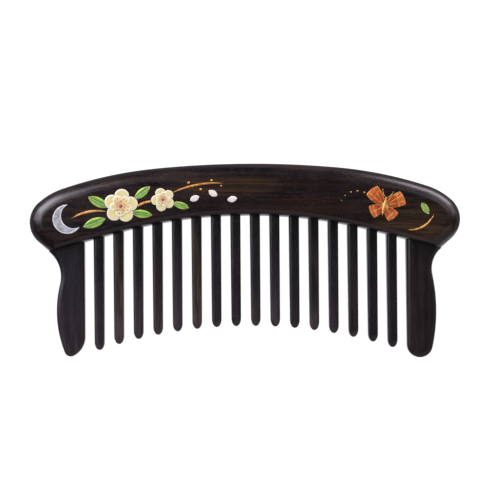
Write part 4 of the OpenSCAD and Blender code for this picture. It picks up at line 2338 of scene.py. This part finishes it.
@dataclass(frozen=True)
class Softbox:
    """A soft light that faces the comb.

    It hangs away from the comb, at a heading from X and a rise above the floor in degrees. Its sizes
    are in metres.
    """

    name: str
    heading: float
    rise: float
    width: float
    height: float
    radiance: float
    colour: Colour
    away: float = 0.9

    def place(self, middle: Vector) -> None:
        """Adds the light.

        Args:
            middle: The middle of the comb in metres.
        """
        light = bpy.data.lights.new(self.name, "AREA")
        light.shape = "RECTANGLE"
        light.size = self.width
        light.size_y = self.height
        light.energy = LIGHT_POWER * self.radiance * self.width * self.height
        light.color = self.colour
        holder = bpy.data.objects.new(self.name, light)
        bpy.context.scene.collection.objects.link(holder)
        turn, rise = radians(self.heading), radians(self.rise)
        out = Vector((cos(turn) * cos(rise), sin(turn) * cos(rise), sin(rise)))
        holder.location = middle + out * self.away
        holder.rotation_euler = out.to_track_quat("Z", "Y").to_euler()


LEFT_LIGHT: Colour = (0.93, 0.88, 1.0)
RIGHT_LIGHT: Colour = (0.98, 0.89, 1.0)
FRONT_LIGHT: Colour = (1.0, 0.9, 1.0)


@dataclass
class Studio:
    """The white backdrop, the lights and the camera."""

    boxes: tuple[Softbox, ...] = (
        Softbox("left_wide_box", 145.0, 27.0, 0.9, 0.7, 2.7, LEFT_LIGHT),
        Softbox("left_high_box", 151.0, 54.0, 0.4, 0.35, 3.6, LEFT_LIGHT),
        Softbox("left_box", 137.0, 30.0, 0.4, 0.5, 6.0, LEFT_LIGHT),
        Softbox("right_wide_box", 37.0, 19.0, 0.75, 0.58, 1.7, RIGHT_LIGHT),
        Softbox("right_high_box", 40.0, 52.0, 0.35, 0.3, 1.4, RIGHT_LIGHT),
        Softbox("right_box", 53.5, 8.0, 0.5, 0.34, 6.4, RIGHT_LIGHT),
        Softbox("front_box", 290.0, 36.0, 1.8, 1.1, 0.37, FRONT_LIGHT),
    )
    comb_height: float = 0.006
    floor_size: float = 6.0
    floor_drop: float = 0.0002
    fill: float = 0.03
    eye: Spot = (-2.0, -12.0, 490.8)
    aim: Spot = (1.7, 4.1, 5.5)
    roll: float = 0.55
    sight: float = 21.4
    film_width: float = 36.0
    nearest: float = 0.01
    farthest: float = 20.0

    def surround(self) -> None:
        """Makes the room round the comb, which looks white but gives little light."""
        world = bpy.data.worlds.new("dim_room")
        bpy.context.scene.world = world
        world.use_nodes = True
        background = world.node_tree.nodes["Background"]
        graph = Graph(world.node_tree)
        seen = graph.node("ShaderNodeLightPath").outputs["Is Camera Ray"]
        strength = graph.plus(self.fill, graph.times(seen, 1.0 - self.fill))
        graph.feed_all(background, {"Color": (1.0, 1.0, 1.0, 1.0), "Strength": strength})

    def floor(self) -> None:
        """Lays the backdrop just under the comb."""
        deselect()
        place = (0.0, 0.0, -self.floor_drop)
        bpy.ops.mesh.primitive_plane_add(size=self.floor_size, location=place)
        floor = bpy.context.object
        floor.name = "backdrop"
        floor.data.materials.append(FloorFinish().material("backdrop"))

    def camera(self) -> None:
        """Hangs the camera over the comb, aimed and turned as the photo was taken."""
        data = bpy.data.cameras.new("camera")
        data.sensor_width = self.film_width
        data.angle = radians(self.sight)
        data.clip_start = self.nearest
        data.clip_end = self.farthest
        holder = bpy.data.objects.new("camera", data)
        bpy.context.scene.collection.objects.link(holder)
        eye, aim = Vector(self.eye) * MM, Vector(self.aim) * MM
        back = (eye - aim).normalized()
        turn = radians(self.roll)
        side = Vector((sin(turn), cos(turn), 0.0)).cross(back).normalized()
        up = back.cross(side)
        holder.matrix_world = Matrix.Translation(eye) @ Matrix((side, up, back)).transposed().to_4x4()
        bpy.context.scene.camera = holder

    def build(self) -> None:
        """Sets up all of it, and a plain white for the brightest parts."""
        self.surround()
        self.floor()
        for box in self.boxes:
            box.place(Vector((0.0, 0.0, self.comb_height)))
        self.camera()
        settings = bpy.context.scene.view_settings
        settings.view_transform = "Standard"
        settings.look = "None"


# The comb


class Comb:
    """All pieces of the comb, each with its finish and its place in the frame."""

    def __init__(self) -> None:
        """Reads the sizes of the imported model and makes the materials."""
        self.sizes = CombSizes()
        self.materials = {name: finish.material(name) for name, finish in FINISHES.items()}

    def finish(self, fitting: Fitting) -> None:
        """Shades a piece, gives it its material, attaches it to the comb's body and hides the imported
        node that it stands for.

        Args:
            fitting: The piece with its slot, node and finish.
        """
        piece = fitting.piece
        activate(piece)
        bpy.ops.object.shade_smooth_by_angle(angle=radians(SHARP_TURN))
        piece.data.materials.clear()
        piece.data.materials.append(self.materials[fitting.finish])
        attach(piece, BODY)
        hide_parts(fitting.node)
        log.info("%s: %d faces", piece.name, len(piece.data.polygons))

    def wooden_parts(self) -> list[Fitting]:
        """Models the spine and all teeth.

        Returns:
            Each with its wood and its node.
        """
        sizes = self.sizes
        right = GuardTooth(
            sizes,
            (Arc(9.8, 61.6, 8), Arc(63.2, -24.3, 7), Arc(4.7, -77.3, 6)),
            (Arc(4.7, -90.0, 6),),
            "guard_tooth_right",
        )
        left = GuardTooth(
            sizes,
            (Arc(11.7, 64.1, 8), Arc(41.0, -35.4, 7), Arc(2.4, -68.7, 6)),
            (Arc(2.4, -28.3, 2), Arc(7.8, -61.7, 5)),
            "guard_tooth_left",
            mirrored=True,
        )
        woods = [
            (Spine(sizes).build(), Slot.SPINE, "spine"),
            (left.build(), Slot.DARK_TOOTH, left.node),
            (right.build(), Slot.HALF_BROWN_TOOTH, right.node),
        ]
        woods += NarrowTeeth(sizes).build()
        return [Fitting(piece, slot, node, slot.value) for piece, slot, node in woods]

    def inlays(self) -> list[Fitting]:
        """Models the inlays, with what lies behind a blossom cut clear of it.

        Returns:
            The pieces of all inlays.
        """
        sizes = self.sizes
        blossoms = (
            Blossom(sizes),
            Blossom(
                sizes, name="small_blossom", node="blossom_inlay_small",
                x=-29.7, y=22.5, radius=4.3, turn=40.0, filaments=10,
            ),
        )
        cuts = tuple(circle for blossom in blossoms for circle in blossom.circles())
        leaves = (
            Leaf(sizes, number=1, x=-54.6, y=14.3, turn=200.0, length=8.6, width=3.4, cuts=cuts),
            Leaf(sizes, number=2, x=-53.2, y=21.8, turn=152.0, length=8.2, width=3.3, cuts=cuts),
            Leaf(sizes, number=3, x=-37.4, y=17.4, turn=-8.0, length=7.6, width=2.9, cuts=cuts),
            Leaf(sizes, number=4, x=-37.3, y=25.0, turn=38.0, length=7.4, width=2.9, cuts=cuts),
            Leaf(sizes, number=5, x=-23.2, y=20.3, turn=-18.0, length=6.2, width=2.5, cuts=cuts),
            Leaf(sizes, number=6, x=65.4, y=18.4, turn=122.0, length=5.0, width=2.2),
        )
        spray_buds = ((-20.4, 28.5, 0.5), (-16.0, 26.1, 0.42), (-12.0, 29.3, 0.4), (-8.6, 27.3, 0.34))
        lines = (
            Line(sizes, name="twig", start=(-63.2, 15.7), end=(-49.8, 18.2), cuts=cuts),
            Line(sizes, name="branch", start=(-41.0, 18.6), end=(-31.0, 21.8), bow=0.8, cuts=cuts),
            Line(
                sizes, name="spray", start=(-27.4, 24.4), end=(-7.4, 28.2),
                bow=1.0, thick=0.8, cuts=cuts, buds=spray_buds,
            ),
            Line(sizes, name="tendril", start=(68.6, 16.4), end=(58.6, 10.8), bow=1.6, thick=0.8),
        )
        petals = (
            Petal(sizes, number=1, x=-18.2, y=22.8, turn=24.0),
            Petal(sizes, number=2, x=-11.6, y=24.6, turn=-32.0),
            Petal(sizes, number=3, x=-4.6, y=22.4, turn=12.0),
        )
        fittings = []
        for inlay in (*blossoms, *leaves, *lines, *petals, Moon(sizes), Butterfly(sizes)):
            fittings += inlay.build()
        return fittings

    def build(self) -> None:
        """Models and finishes every piece."""
        for fitting in self.wooden_parts() + self.inlays():
            self.finish(fitting)


def main() -> None:
    """Builds the comb and the studio round it."""
    logging.basicConfig(level=logging.INFO, format="%(name)s: %(message)s")
    Comb().build()
    Studio().build()


if __name__ == "__main__":
    main()
